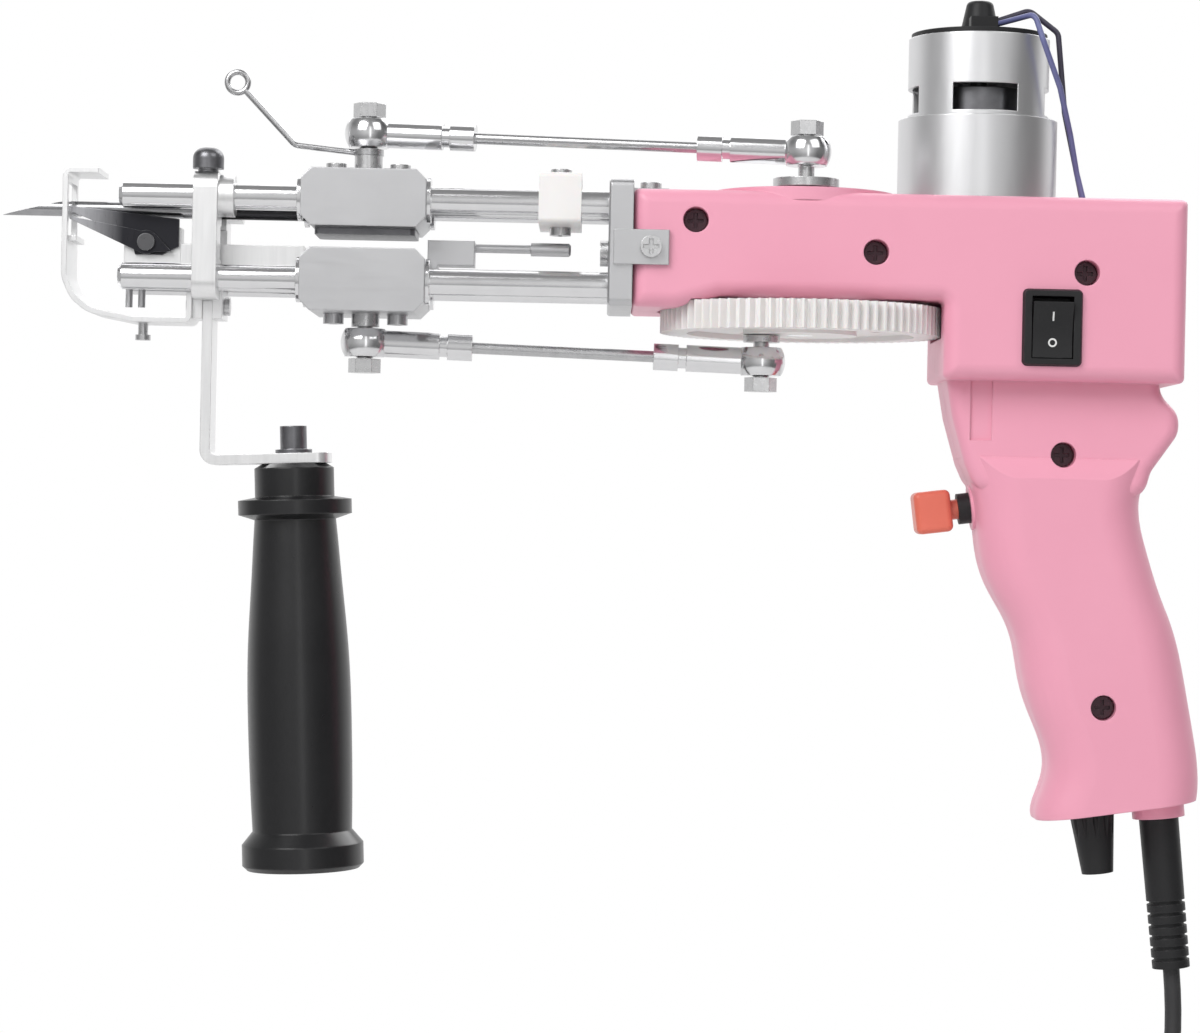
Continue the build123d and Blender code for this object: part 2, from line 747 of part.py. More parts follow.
with BuildPart() as lower_guide_rods:
    guide_bores(rod_d, rod_front_x, housing_front_x, lower_rod_z, mode=Mode.ADD)
    chamfer(lower_guide_rods.faces().group_by(Axis.X)[0].edges(), length=rod_tip_chamfer)
lower_guide_rods.part.label = "lower_guide_rods"
export_step(lower_guide_rods.part, "parts/lower_guide_rods.step")

# Stop collar clamped on the upper rods
with BuildPart() as stop_collar:
    box_between((collar_x - collar_length / 2, -collar_width / 2, collar_floor_z),
                (collar_x + collar_length / 2, collar_width / 2, collar_top_z))
    fillet(stop_collar.edges().filter_by(Axis.X), radius=collar_edge_r)
    guide_bores(rod_d, collar_x - collar_length, collar_x + collar_length, upper_rod_z)
    bar_z(pan_shank_d, collar_floor_z - overrun, collar_top_z + overrun, collar_x, 0, mode=Mode.SUBTRACT)
stop_collar.part.label = "stop_collar"
export_step(stop_collar.part, "parts/stop_collar.step")

# Bearing bracket inside the arm: a tube on a round flange
bracket_floor_z = arm_floor_z + housing_wall
lower_bearing_z = bracket_floor_z + bearing_lip
upper_bearing_z = crank_disc_top_z - crank_disc_h - seat_gap - bearing_width
with BuildPart() as bearing_bracket:
    bar_z(bearing_od + 2 * bracket_wall, bracket_floor_z, upper_bearing_z + bearing_width, crank_x, 0)
    bar_z(bracket_flange_d, bracket_floor_z, bracket_floor_z + bracket_flange_h, crank_x, 0)
    bar_z(bearing_od, lower_bearing_z, lower_bearing_z + bearing_width, crank_x, 0, mode=Mode.SUBTRACT)
    bar_z(bearing_od, upper_bearing_z, upper_bearing_z + bearing_width + overrun, crank_x, 0,
          mode=Mode.SUBTRACT)
    bar_z(bearing_od - 2 * bearing_lip, bracket_floor_z - overrun, upper_bearing_z + overrun, crank_x, 0,
          mode=Mode.SUBTRACT)
bearing_bracket.part.label = "bearing_bracket"
export_step(bearing_bracket.part, "parts/bearing_bracket.step")

# Two ball bearings of the crankshaft, each drawn as one closed ring
with BuildPart() as crank_bearings:
    for z in (lower_bearing_z, upper_bearing_z):
        bar_z(bearing_od, z, z + bearing_width, crank_x, 0)
        bar_z(crank_shaft_d + 2 * running_gap, z - overrun, z + bearing_width + overrun, crank_x, 0,
              mode=Mode.SUBTRACT)
crank_bearings.part.label = "crank_bearings"
export_step(crank_bearings.part, "parts/crank_bearings.step")

# Motor: drawn can, flux ring round it, end cap with brush holders, armature inside
with BuildPart() as motor_can:
    bar_z(motor_can_d, motor_floor_z, motor_top_z, motor_x, 0)
    bar_z(motor_can_d - 2 * motor_can_wall, motor_floor_z + motor_can_wall, motor_top_z + overrun,
          motor_x, 0, mode=Mode.SUBTRACT)
    bar_z(motor_boss_d, motor_floor_z - motor_boss_h, motor_floor_z + motor_can_wall, motor_x, 0)
    bar_z(motor_shaft_d + 2 * running_gap, motor_floor_z - 2 * motor_boss_h,
          motor_floor_z + 2 * motor_boss_h, motor_x, 0, mode=Mode.SUBTRACT)
    fillet(motor_can.faces().filter_by(Plane.XY).sort_by(Axis.Z)[1].outer_wire().edges(),
           radius=motor_can_wall / 2)
    # Cooling windows, one on each side
    with Locations((motor_x, 0, vent_z)):
        Box(vent_w, 2 * motor_can_d, vent_h, mode=Mode.SUBTRACT)
        Box(2 * motor_can_d, vent_w, vent_h, mode=Mode.SUBTRACT)
motor_can.part.label = "motor_can"
export_step(motor_can.part, "parts/motor_can.step")

with BuildPart() as motor_flux_ring:
    bar_z(flux_ring_d, flux_ring_floor_z, flux_ring_top_z, motor_x, 0)
    bar_z(motor_can_d, flux_ring_floor_z - overrun, flux_ring_top_z + overrun, motor_x, 0,
          mode=Mode.SUBTRACT)
    # The ring is rolled from sheet, with its joint at the back
    box_between((motor_x, -flux_slot_w / 2, flux_ring_floor_z - overrun),
                (motor_x + flux_ring_d, flux_slot_w / 2, flux_ring_top_z + overrun), mode=Mode.SUBTRACT)
motor_flux_ring.part.label = "motor_flux_ring"
export_step(motor_flux_ring.part, "parts/motor_flux_ring.step")

with BuildPart() as motor_end_cap:
    bar_z(motor_can_d - 2 * motor_can_wall, motor_top_z - end_cap_h, motor_top_z, motor_x, 0)
    bar_z(motor_can_d - motor_can_wall, motor_top_z, motor_top_z + motor_can_wall, motor_x, 0)
    with Locations((motor_x, 0, motor_top_z + motor_can_wall + end_boss_h / 2)):
        Cone(end_boss_d / 2, end_boss_tip_d / 2, end_boss_h)
    fillet(motor_end_cap.faces().sort_by(Axis.Z)[-1].edges(), radius=motor_can_wall)
    for side in (-1, 1):
        box_between((motor_x - brush_w / 2, side * motor_can_d / 4 - brush_l / 4, motor_top_z),
                    (motor_x + brush_w / 2, side * motor_can_d / 4 + brush_l / 4, motor_top_z + brush_h))
    bar_z(motor_shaft_d + 2 * running_gap, motor_top_z - 2 * end_cap_h, motor_top_z + end_boss_h / 2,
          motor_x, 0, mode=Mode.SUBTRACT)
motor_end_cap.part.label = "motor_end_cap"
export_step(motor_end_cap.part, "parts/motor_end_cap.step")

with BuildPart() as motor_mount:
    box_between((motor_x - motor_mount_length / 2, -box_half_width + housing_wall + running_gap,
                 motor_floor_z - motor_mount_h),
                (motor_x + motor_mount_length / 2, box_half_width - housing_wall - running_gap,
                 motor_floor_z))
    fillet(motor_mount.edges().filter_by(Axis.Z), radius=end_block_corner_r)
    bar_z(motor_boss_d + 2 * running_gap, motor_floor_z - 2 * motor_mount_h, motor_floor_z + overrun,
          motor_x, 0, mode=Mode.SUBTRACT)
motor_mount.part.label = "motor_mount"
export_step(motor_mount.part, "parts/motor_mount.step")

# Armature and shaft, which turn inside the can
armature_floor_z = motor_floor_z + (motor_top_z - motor_floor_z - armature_length) / 2
with BuildPart() as motor_rotor:
    bar_z(motor_shaft_d, gear_floor_z, motor_top_z + end_boss_h / 2 - overrun, motor_x, 0)
    bar_z(armature_d, armature_floor_z, armature_floor_z + armature_length, motor_x, 0)
motor_rotor.part.label = "motor_rotor"
export_step(motor_rotor.part, "parts/motor_rotor.step")


def gear_face_sketch(teeth, turn):
    """A spur gear's outline: straight sided teeth between the root and the tip circle."""
    pitch_r = gear_module * teeth / 2
    tip_r = pitch_r + gear_module
    root_r = pitch_r - tooth_foot * gear_module
    tooth_angle = 360 / teeth
    backlash_angle = math.degrees(gear_backlash / pitch_r)
    places = ((root_r, tooth_root_share), (pitch_r, tooth_pitch_share), (tip_r, tooth_tip_share))
    points = []
    for tooth in range(teeth):
        middle = turn + tooth * tooth_angle
        for side, row in ((-1, places), (1, reversed(places))):
            for radius, share in row:
                angle = math.radians(middle + side * (share * tooth_angle - backlash_angle) / 2)
                points.append((radius * math.cos(angle), radius * math.sin(angle)))
    with BuildSketch() as outline:
        with BuildLine():
            Polyline(*points, close=True)
        make_face()
    return outline.sketch


# Big nylon gear under the arm, with a sunk web, and the steel pinion that drives it
with BuildPart() as drive_gear:
    with Locations((crank_x, 0, gear_floor_z)):
        add(extrude(gear_face_sketch(gear_teeth, 0), amount=gear_face, mode=Mode.PRIVATE))
    for recess_z in (gear_floor_z, gear_top_z - gear_web_recess):
        with BuildSketch(Plane.XY.offset(recess_z)):
            with Locations((crank_x, 0)):
                Circle(gear_rim_inner_d / 2)
                Circle(gear_hub_d / 2, mode=Mode.SUBTRACT)
        extrude(amount=gear_web_recess, mode=Mode.SUBTRACT)
    with BuildSketch(Plane.XY.offset(gear_floor_z)):
        with Locations((crank_x, 0)):
            with PolarLocations((gear_rim_inner_d + gear_hub_d) / 4, gear_web_holes):
                Circle(gear_web_hole_d / 2)
            Circle(crank_shaft_d / 2)
    extrude(amount=gear_face, mode=Mode.SUBTRACT)
drive_gear.part.label = "drive_gear"
export_step(drive_gear.part, "parts/drive_gear.step")

with BuildPart() as pinion:
    # A tooth of the big gear points at the pinion, so a gap of the pinion faces it
    with Locations((motor_x, 0, gear_floor_z)):
        add(extrude(gear_face_sketch(pinion_teeth, 180 + 180 / pinion_teeth), amount=gear_face,
                    mode=Mode.PRIVATE))
    bar_z(motor_shaft_d, gear_floor_z - overrun, gear_top_z + overrun, motor_x, 0, mode=Mode.SUBTRACT)
pinion.part.label = "pinion"
export_step(pinion.part, "parts/pinion.step")

with BuildPart() as crankshaft:
    bar_z(crank_shaft_d, gear_floor_z, crank_disc_top_z, crank_x, 0)
    # Collar that holds the gear clear of the arm floor
    bar_z(shaft_hole_d - 2 * seat_gap - 2 * bearing_lip, gear_top_z, lower_bearing_z, crank_x, 0)
crankshaft.part.label = "crankshaft"
export_step(crankshaft.part, "parts/crankshaft.step")

with BuildPart() as crank_disc:
    bar_z(crank_disc_d, crank_disc_top_z - crank_disc_h, crank_disc_top_z, crank_x, 0)
    chamfer(crank_disc.faces().sort_by(Axis.Z)[-1].edges(), length=trim_chamfer)
    bar_z(crank_shaft_d, crank_disc_top_z - 2 * crank_disc_h, crank_disc_top_z + overrun, crank_x, 0,
          mode=Mode.SUBTRACT)
crank_disc.part.label = "crank_disc"
export_step(crank_disc.part, "parts/crank_disc.step")

# Motor wires, each one tube of straight runs and tangent arcs
with BuildPart() as motor_wires:
    for route in wire_routes:
        wire_points = []
        for clearance, angle, z in route:
            reach = motor_can_d / 2 + clearance
            wire_points.append((motor_x + reach * math.cos(math.radians(angle)),
                                reach * math.sin(math.radians(angle)), z))
        with BuildLine() as wire_line:
            FilletPolyline(*wire_points, radius=wire_bend_r)
        with BuildSketch(Plane(origin=wire_line.line @ 0, z_dir=wire_line.line % 0)):
            Circle(wire_d / 2)
        sweep(path=wire_line.line)
motor_wires.part.label = "motor_wires"
export_step(motor_wires.part, "parts/motor_wires.step")


def slider_block(rod_z, height):
    """A slider with bevelled ends, bored for the bushings of its two rods."""
    with BuildSketch(Plane.XZ.offset(-slider_width / 2)) as side_view:
        with Locations((slider_x, rod_z)):
            Rectangle(slider_length, height)
        chamfer(side_view.vertices(), length=slider_end_chamfer)
    extrude(side_view.sketch, amount=slider_width)


def slider_bushings(rod_z):
    """Flanged bronze bushings, one on each rod, through the whole slider."""
    guide_bores(bushing_od, slider_front_x, slider_rear_x, rod_z, mode=Mode.ADD)
    guide_bores(bushing_flange_d, slider_front_x - bushing_flange_h, slider_front_x, rod_z, mode=Mode.ADD)
    guide_bores(bushing_flange_d, slider_rear_x, slider_rear_x + bushing_flange_h, rod_z, mode=Mode.ADD)
    guide_bores(rod_d + 2 * running_gap, slider_front_x - 2 * bushing_flange_h,
                slider_rear_x + 2 * bushing_flange_h, rod_z)


def cap_screw(x, seat_z, up):
    """A socket head cap screw that stands up or down from its seat."""
    with Locations(Plane(origin=(x, 0, seat_z), z_dir=(0, 0, up))):
        Cylinder(small_screw_d / 2, small_screw_h, align=low_end)
        Cylinder(small_screw_shank_d / 2, small_screw_depth, align=high_end)
    with BuildSketch(Plane(origin=(x, 0, seat_z + up * small_screw_h), z_dir=(0, 0, up))) as socket:
        RegularPolygon(small_screw_d * hex_socket_share / 2, 6)
    extrude(socket.sketch, amount=-small_screw_h * hex_socket_share, mode=Mode.SUBTRACT)


small_screw_xs = (slider_x - small_screw_offset, slider_x + small_screw_offset)

# Needle carriage
with BuildPart() as upper_slider:
    slider_block(upper_rod_z, upper_slider_h)
    guide_bores(bushing_od, slider_front_x - overrun, slider_rear_x + overrun, upper_rod_z)
    bar_x(needle_d, slider_front_x - overrun, slider_front_x + needle_insert, 0, needle_z,
          mode=Mode.SUBTRACT)
    bar_z(stud_d, upper_slider_top_z - stud_seat_depth / 2, upper_slider_top_z + overrun, slider_x, 0,
          mode=Mode.SUBTRACT)
    for x in small_screw_xs:
        bar_z(small_screw_shank_d, upper_slider_top_z - small_screw_depth, upper_slider_top_z + overrun,
              x, 0, mode=Mode.SUBTRACT)
upper_slider.part.label = "upper_slider"
export_step(upper_slider.part, "parts/upper_slider.step")

with BuildPart() as upper_bushings:
    slider_bushings(upper_rod_z)
upper_bushings.part.label = "upper_bushings"
export_step(upper_bushings.part, "parts/upper_bushings.step")

with BuildPart() as upper_slider_screws:
    for x in small_screw_xs:
        cap_screw(x, upper_slider_top_z, 1)
upper_slider_screws.part.label = "upper_slider_screws"
export_step(upper_slider_screws.part, "parts/upper_slider_screws.step")

# Hollow needle: a tube cut on a long slant, with a slot behind the point for the yarn
with BuildPart() as needle:
    bar_x(needle_d, needle_tip_x, slider_front_x + needle_insert, 0, needle_z)
    bar_x(needle_bore_d, needle_tip_x - overrun, slider_front_x + needle_insert + overrun, 0, needle_z,
          mode=Mode.SUBTRACT)
    with BuildSketch(Plane.XZ.offset(-needle_d)):
        with BuildLine():
            Polyline((needle_tip_x - overrun, needle_z - needle_d / 2),
                     (needle_tip_x, needle_z - needle_d / 2),
                     (needle_tip_x + needle_point_length, needle_z + needle_d / 2),
                     (needle_tip_x + needle_point_length, needle_z + needle_d),
                     (needle_tip_x - overrun, needle_z + needle_d), close=True)
        make_face()
    extrude(amount=2 * needle_d, mode=Mode.SUBTRACT)
    with Locations((needle_tip_x + needle_point_length + needle_eye_length, 0, needle_z - needle_d / 2)):
        Box(needle_eye_length, needle_eye_w, needle_d, mode=Mode.SUBTRACT)
needle.part.label = "needle"
export_step(needle.part, "parts/needle.step")

with BuildPart() as needle_clamp:
    box_between((slider_x - clamp_plate_length / 2, -clamp_plate_width / 2,
                 upper_slider_floor_z - clamp_plate_h),
                (slider_x + clamp_plate_length / 2, clamp_plate_width / 2, upper_slider_floor_z))
    fillet(needle_clamp.edges().filter_by(Axis.Z), radius=end_block_corner_r)
needle_clamp.part.label = "needle_clamp"
export_step(needle_clamp.part, "parts/needle_clamp.step")


def ball_stud(ball, side, spacer_from_z, spacer_d, nut_side_length):
    """A ball on its neck, with a spacer on one side and a nut on the other."""
    eye_face = side * (eye_h / 2 + 2 * seat_gap)
    with Locations(tuple(ball)):
        Sphere(ball_d / 2)
    neck = sorted((spacer_from_z, ball.Z + eye_face))
    bar_z(stud_neck_d, neck[0], neck[1], ball.X, ball.Y)
    nut = sorted((ball.Z + eye_face, ball.Z + eye_face + side * nut_side_length))
    with BuildSketch(Plane.XY.offset(nut[0])) as nut_face:
        with Locations((ball.X, ball.Y)):
            RegularPolygon(spacer_d / 2, 6, major_radius=False)
    extrude(nut_face.sketch, amount=nut[1] - nut[0])


# Front stud of the needle carriage: spacer, ball, nut
washer_top_z = upper_front_ball_z - eye_h / 2 - 2 * seat_gap
washer_floor_z = washer_top_z - guide_wire_d
with BuildPart() as upper_front_stud:
    bar_z(stud_d, upper_slider_top_z - stud_seat_depth / 2, washer_floor_z, slider_x, 0)
    ball_stud(upper_front_ball, 1, washer_floor_z, stud_d, nut_h)
upper_front_stud.part.label = "upper_front_stud"
export_step(upper_front_stud.part, "parts/upper_front_stud.step")

# Yarn guide: a wire from a washer on the stud, up and forward to an eye
with BuildPart() as yarn_guide:
    bar_z(guide_washer_d, washer_floor_z, washer_top_z, slider_x, 0)
    wire_start = (slider_x - guide_washer_d / 2 + guide_wire_d / 2, 0, (washer_floor_z + washer_top_z) / 2)
    with BuildLine() as guide_line:
        FilletPolyline(wire_start, (guide_knee[0], 0, guide_knee[1]), (guide_end[0], 0, guide_end[1]),
                       radius=guide_knee_r)
    with BuildSketch(Plane(origin=guide_line.line @ 0, z_dir=guide_line.line % 0)):
        Circle(guide_wire_d / 2)
    sweep(path=guide_line.line)
    guide_slope = guide_line.line % 1
    eye_middle = guide_line.line @ 1 + guide_slope * (guide_eye_d / 2)
    with Locations(Plane(origin=eye_middle, z_dir=(0, 1, 0))):
        Torus(guide_eye_d / 2, guide_wire_d / 2)
    bar_z(stud_neck_d + 2 * running_gap, washer_floor_z - overrun, washer_top_z + overrun, slider_x, 0,
          mode=Mode.SUBTRACT)
yarn_guide.part.label = "yarn_guide"
export_step(yarn_guide.part, "parts/yarn_guide.step")


def rod_ends(front, rear):
    """Both rod ends of a connecting rod: an eye round each ball, and a waisted socket."""
    for ball, other in ((front, rear), (rear, front)):
        along = (other - ball).normalized()
        with Locations(tuple(ball)):
            Sphere(eye_d / 2)
        with Locations(Plane(origin=ball, z_dir=along)):
            with Locations((0, 0, rod_end_start)):
                Cylinder(rod_end_d / 2, rod_end_first_length - rod_end_start,
                         align=low_end)
            with Locations((0, 0, rod_end_first_length)):
                Cylinder(rod_end_waist_d / 2, rod_end_waist_length,
                         align=low_end)
            with Locations((0, 0, rod_end_first_length + rod_end_waist_length)):
                Cylinder(rod_end_d / 2, rod_end_second_length,
                         align=low_end)
            with Locations((0, 0, rod_end_total - link_rod_insert)):
                Cylinder(link_rod_d / 2, 2 * link_rod_insert,
                         align=low_end, mode=Mode.SUBTRACT)
    for ball in (front, rear):
        for side in (-1, 1):
            with Locations((ball.X, ball.Y, ball.Z + side * (eye_h / 2 + eye_d / 2))):
                Box(eye_d, eye_d, eye_d, mode=Mode.SUBTRACT)
        with Locations(tuple(ball)):
            Sphere(ball_d / 2 + running_gap, mode=Mode.SUBTRACT)
            Cylinder(stud_neck_d / 2 + seat_gap, eye_d, mode=Mode.SUBTRACT)


def link_rod(front, rear):
    """The thin rod between the two rod ends."""
    along = (rear - front).normalized()
    length = (rear - front).length - 2 * (rod_end_total - link_rod_insert)
    with Locations(Plane(origin=front + along * (rod_end_total - link_rod_insert), z_dir=along)):
        Cylinder(link_rod_d / 2, length, align=low_end)


rod_end_total = rod_end_first_length + rod_end_waist_length + rod_end_second_length

# Upper connecting rod, from the needle carriage to the crank disc
with BuildPart() as upper_rod_ends:
    rod_ends(upper_front_ball, upper_rear_ball)
upper_rod_ends.part.label = "upper_rod_ends"
export_step(upper_rod_ends.part, "parts/upper_rod_ends.step")

with BuildPart() as upper_link_rod:
    link_rod(upper_front_ball, upper_rear_ball)
upper_link_rod.part.label = "upper_link_rod"
export_step(upper_link_rod.part, "parts/upper_link_rod.step")

upper_flange_z = crank_disc_top_z + seat_gap
with BuildPart() as upper_rear_stud:
    bar_z(rear_flange_d, upper_flange_z, upper_flange_z + rear_flange_h, crank_x, -crank_throw)
    ball_stud(upper_rear_ball, 1, upper_flange_z, stud_d, nut_h)
upper_rear_stud.part.label = "upper_rear_stud"
export_step(upper_rear_stud.part, "parts/upper_rear_stud.step")

# Lower connecting rod, from the scissor carriage to the pin under the gear
with BuildPart() as lower_rod_ends:
    rod_ends(lower_front_ball, lower_rear_ball)
lower_rod_ends.part.label = "lower_rod_ends"
export_step(lower_rod_ends.part, "parts/lower_rod_ends.step")

with BuildPart() as lower_link_rod:
    link_rod(lower_front_ball, lower_rear_ball)
lower_link_rod.part.label = "lower_link_rod"
export_step(lower_link_rod.part, "parts/lower_link_rod.step")

lower_flange_z = gear_floor_z - seat_gap
with BuildPart() as lower_rear_stud:
    bar_z(lower_flange_d, lower_flange_z - lower_flange_h, lower_flange_z, lower_rear_ball.X, 0)
    ball_stud(lower_rear_ball, -1, lower_flange_z, stud_d, nut_h)
lower_rear_stud.part.label = "lower_rear_stud"
export_step(lower_rear_stud.part, "parts/lower_rear_stud.step")

# Scissor carriage
with BuildPart() as lower_slider:
    slider_block(lower_rod_z, lower_slider_h)
    guide_bores(bushing_od, slider_front_x - overrun, slider_rear_x + overrun, lower_rod_z)
    bar_z(stud_d, lower_slider_floor_z - overrun, lower_slider_floor_z + stud_seat_depth / 2, slider_x, 0,
          mode=Mode.SUBTRACT)
    for x in small_screw_xs:
        bar_z(small_screw_shank_d, lower_slider_floor_z - overrun,
              lower_slider_floor_z + small_screw_depth, x, 0, mode=Mode.SUBTRACT)
lower_slider.part.label = "lower_slider"
export_step(lower_slider.part, "parts/lower_slider.step")

with BuildPart() as lower_bushings:
    slider_bushings(lower_rod_z)
lower_bushings.part.label = "lower_bushings"
export_step(lower_bushings.part, "parts/lower_bushings.step")

lower_spacer_z = lower_front_ball_z + eye_h / 2 + 2 * seat_gap
with BuildPart() as lower_front_stud:
    bar_z(stud_d, lower_spacer_z, lower_slider_floor_z + stud_seat_depth / 2, slider_x, 0)
    ball_stud(lower_front_ball, -1, lower_spacer_z, stud_d, nut_h)
lower_front_stud.part.label = "lower_front_stud"
export_step(lower_front_stud.part, "parts/lower_front_stud.step")

# Arm that carries the scissors, from the slider's front to the block at the pivot
arm_floor_level = lower_rod_z + rod_d / 2 - arm_floor_gap
with BuildPart() as scissor_arm:
    box_between((scissor_block_rear_x, -arm_half_width, arm_floor_level),
                (slider_front_x, arm_half_width, arm_floor_level + arm_height))
    box_between((scissor_block_front_x, blade_inner_y, arm_floor_level),
                (scissor_block_rear_x, arm_half_width, scissor_block_top_z))
    chamfer(scissor_arm.edges().filter_by(Axis.Y).group_by(Axis.X)[0].group_by(Axis.Z)[-1],
            length=2 * trim_chamfer)
    bar_y(pivot_pin_d, blade_inner_y - overrun, arm_half_width + overrun, *scissor_pivot,
          mode=Mode.SUBTRACT)
    for x in clamp_screw_xs:
        bar_z(clamp_screw_d, arm_floor_level - overrun, arm_floor_level + 2 * clamp_screw_d, x, 0,
              mode=Mode.SUBTRACT)
scissor_arm.part.label = "scissor_arm"
export_step(scissor_arm.part, "parts/scissor_arm.step")


def blade_sketch(points):
    """The outline of one blade, in the XZ plane."""
    with BuildSketch(Plane.XZ) as outline:
        with BuildLine():
            Polyline(*points, close=True)
        make_face()
    return outline.sketch


fixed_blade_y = blade_inner_y - blade_thickness
moving_blade_y = fixed_blade_y - running_gap - blade_thickness
with BuildPart() as scissor_fixed_blade:
    plate_y(blade_sketch(upper_blade_outline), fixed_blade_y, blade_inner_y)
    bar_y(pivot_pin_d, fixed_blade_y - overrun, blade_inner_y + overrun, *scissor_pivot,
          mode=Mode.SUBTRACT)
scissor_fixed_blade.part.label = "scissor_fixed_blade"
export_step(scissor_fixed_blade.part, "parts/scissor_fixed_blade.step")

with BuildPart() as scissor_moving_blade:
    plate_y(blade_sketch(lower_blade_outline), moving_blade_y, moving_blade_y + blade_thickness)
    bar_y(2 * blade_hub_r, moving_blade_y, moving_blade_y + blade_thickness, *scissor_pivot)
    bar_y(pivot_pin_d + 2 * running_gap, moving_blade_y - overrun,
          moving_blade_y + blade_thickness + overrun, *scissor_pivot, mode=Mode.SUBTRACT)
scissor_moving_blade.part.label = "scissor_moving_blade"
export_step(scissor_moving_blade.part, "parts/scissor_moving_blade.step")

# Screws of the scissor carriage: two under the slider, the pivot, two through the arm
with BuildPart() as scissor_screws:
    for x in small_screw_xs:
        cap_screw(x, lower_slider_floor_z, -1)
    pivot_head_y = moving_blade_y - running_gap - pivot_head_h
    bar_y(pivot_pin_d, pivot_head_y, arm_half_width, *scissor_pivot)
    bar_y(pivot_head_d, pivot_head_y, pivot_head_y + pivot_head_h, *scissor_pivot)
    for x in clamp_screw_xs:
        bar_z(clamp_screw_d, clamp_screw_floor_z, arm_floor_level + 2 * clamp_screw_d, x, 0)
scissor_screws.part.label = "scissor_screws"
export_step(scissor_screws.part, "parts/scissor_screws.step")

# Trip rod on its block at the back of the lower slider
trip_block_rear_x = slider_rear_x + trip_block_length
with BuildPart() as trip_rod:
    box_between((slider_rear_x, -trip_block_half_width, trip_block_floor_z),
                (trip_block_rear_x, trip_block_half_width, trip_block_top_z))
    box_between((slider_rear_x, -trip_block_half_width, lower_rod_z),
                (slider_rear_x + small_screw_h, trip_block_half_width, trip_block_floor_z))
    bar_x(trip_rod_d, trip_block_rear_x, trip_rod_end_x, 0, trip_rod_z)
    bar_x(trip_tip_d, trip_rod_end_x - trip_tip_length, trip_rod_end_x, 0, trip_rod_z)
    chamfer(trip_rod.faces().sort_by(Axis.X)[-1].edges(), length=trim_chamfer)
trip_rod.part.label = "trip_rod"
export_step(trip_rod.part, "parts/trip_rod.step")

# Front plate: four bores, a window for needle and scissors, a fork below for the handle strap
plate_front_x = plate_x - plate_thickness / 2
plate_rear_x = plate_x + plate_thickness / 2
prong_front_x = plate_x - strap_thickness / 2 - prong_thickness
prong_rear_x = plate_x + strap_thickness / 2 + prong_thickness
with BuildPart() as front_plate:
    with BuildSketch(Plane.YZ.offset(plate_front_x)):
        with Locations((0, (plate_top_z + plate_floor_z) / 2)):
            RectangleRounded(2 * plate_half_width, plate_top_z - plate_floor_z, plate_corner_r)
    extrude(amount=plate_thickness)
    box_between((prong_front_x, -prong_half_width, prong_floor_z),
                (prong_rear_x, prong_half_width, strap_top_z + strap_thickness))
    for y in rod_sides:
        bar_x(collet_d, plate_rear_x, plate_rear_x + collet_length, y, upper_rod_z)
    for z in (upper_rod_z, lower_rod_z):
        guide_bores(rod_d + 2 * running_gap, plate_front_x - overrun - prong_thickness,
                    plate_rear_x + collet_length + overrun, z)
    with BuildSketch(Plane.YZ.offset(plate_front_x - prong_thickness)):
        with Locations((0, (window_floor_z + window_top_z) / 2)):
            RectangleRounded(2 * window_half_width, window_top_z - window_floor_z,
                             window_half_width / 2)
    extrude(amount=plate_thickness + 2 * prong_thickness, mode=Mode.SUBTRACT)
    # The window is wider between the rods, where the head of the scissor pivot passes
    box_between((plate_front_x - overrun, -window_wide_half, window_wide_floor_z),
                (plate_rear_x + overrun, window_wide_half, window_wide_top_z), mode=Mode.SUBTRACT)
    bar_x(foot_stop_d, prong_front_x - overrun, prong_rear_x + overrun, 0, foot_cross_screw_z,
          mode=Mode.SUBTRACT)
    box_between((plate_x - strap_thickness / 2, -prong_half_width - overrun, prong_floor_z - overrun),
                (plate_x + strap_thickness / 2, prong_half_width + overrun, strap_top_z),
                mode=Mode.SUBTRACT)
front_plate.part.label = "front_plate"
export_step(front_plate.part, "parts/front_plate.step")

# Knob of the clamp screw on top of the front plate, over the near guide rod
with BuildPart() as clamp_knob:
    bar_z(small_screw_shank_d * 2, plate_top_z, plate_top_z + knob_stem_h, plate_x, knob_y)
    bar_z(knob_d, plate_top_z + knob_stem_h, plate_top_z + knob_stem_h + knob_h, plate_x, knob_y)
    fillet(clamp_knob.faces().sort_by(Axis.Z)[-1].edges(), radius=knob_dome_r)
clamp_knob.part.label = "clamp_knob"
export_step(clamp_knob.part, "parts/clamp_knob.step")

# Presser foot: one bent strip, open in front for needle and scissors
foot_tab_x = prong_front_x
with BuildPart() as presser_foot:
    with BuildSketch(Plane.XZ.offset(-foot_half_width)) as foot_side:
        with BuildLine():
            FilletPolyline((foot_tab_x, foot_tab_top_z), (foot_tab_x, foot_strap_z), *foot_path,
                           radius=foot_bends)
            offset(amount=foot_thickness, side=Side.RIGHT)
        make_face()
    extrude(amount=2 * foot_half_width)
    box_between((foot_path[-2][0] - 2 * foot_thickness, -foot_slot_half_width, foot_slot_floor_z),
                (foot_path[-2][0] + 2 * foot_thickness, foot_slot_half_width, foot_slot_top_z),
                mode=Mode.SUBTRACT)
    bar_x(foot_stop_d, foot_tab_x - 2 * foot_thickness, foot_tab_x + overrun, 0, foot_cross_screw_z,
          mode=Mode.SUBTRACT)
    bar_z(foot_stop_d, foot_strap_z - overrun, foot_strap_z + 2 * foot_thickness, foot_stop_x, 0,
          mode=Mode.SUBTRACT)
    # The tongue cut out of the slot is bent back below it
    box_between((foot_path[-2][0], -foot_slot_half_width, foot_slot_floor_z - foot_thickness),
                (foot_path[-2][0] + foot_tongue_length, foot_slot_half_width, foot_slot_floor_z))
presser_foot.part.label = "presser_foot"
export_step(presser_foot.part, "parts/presser_foot.step")

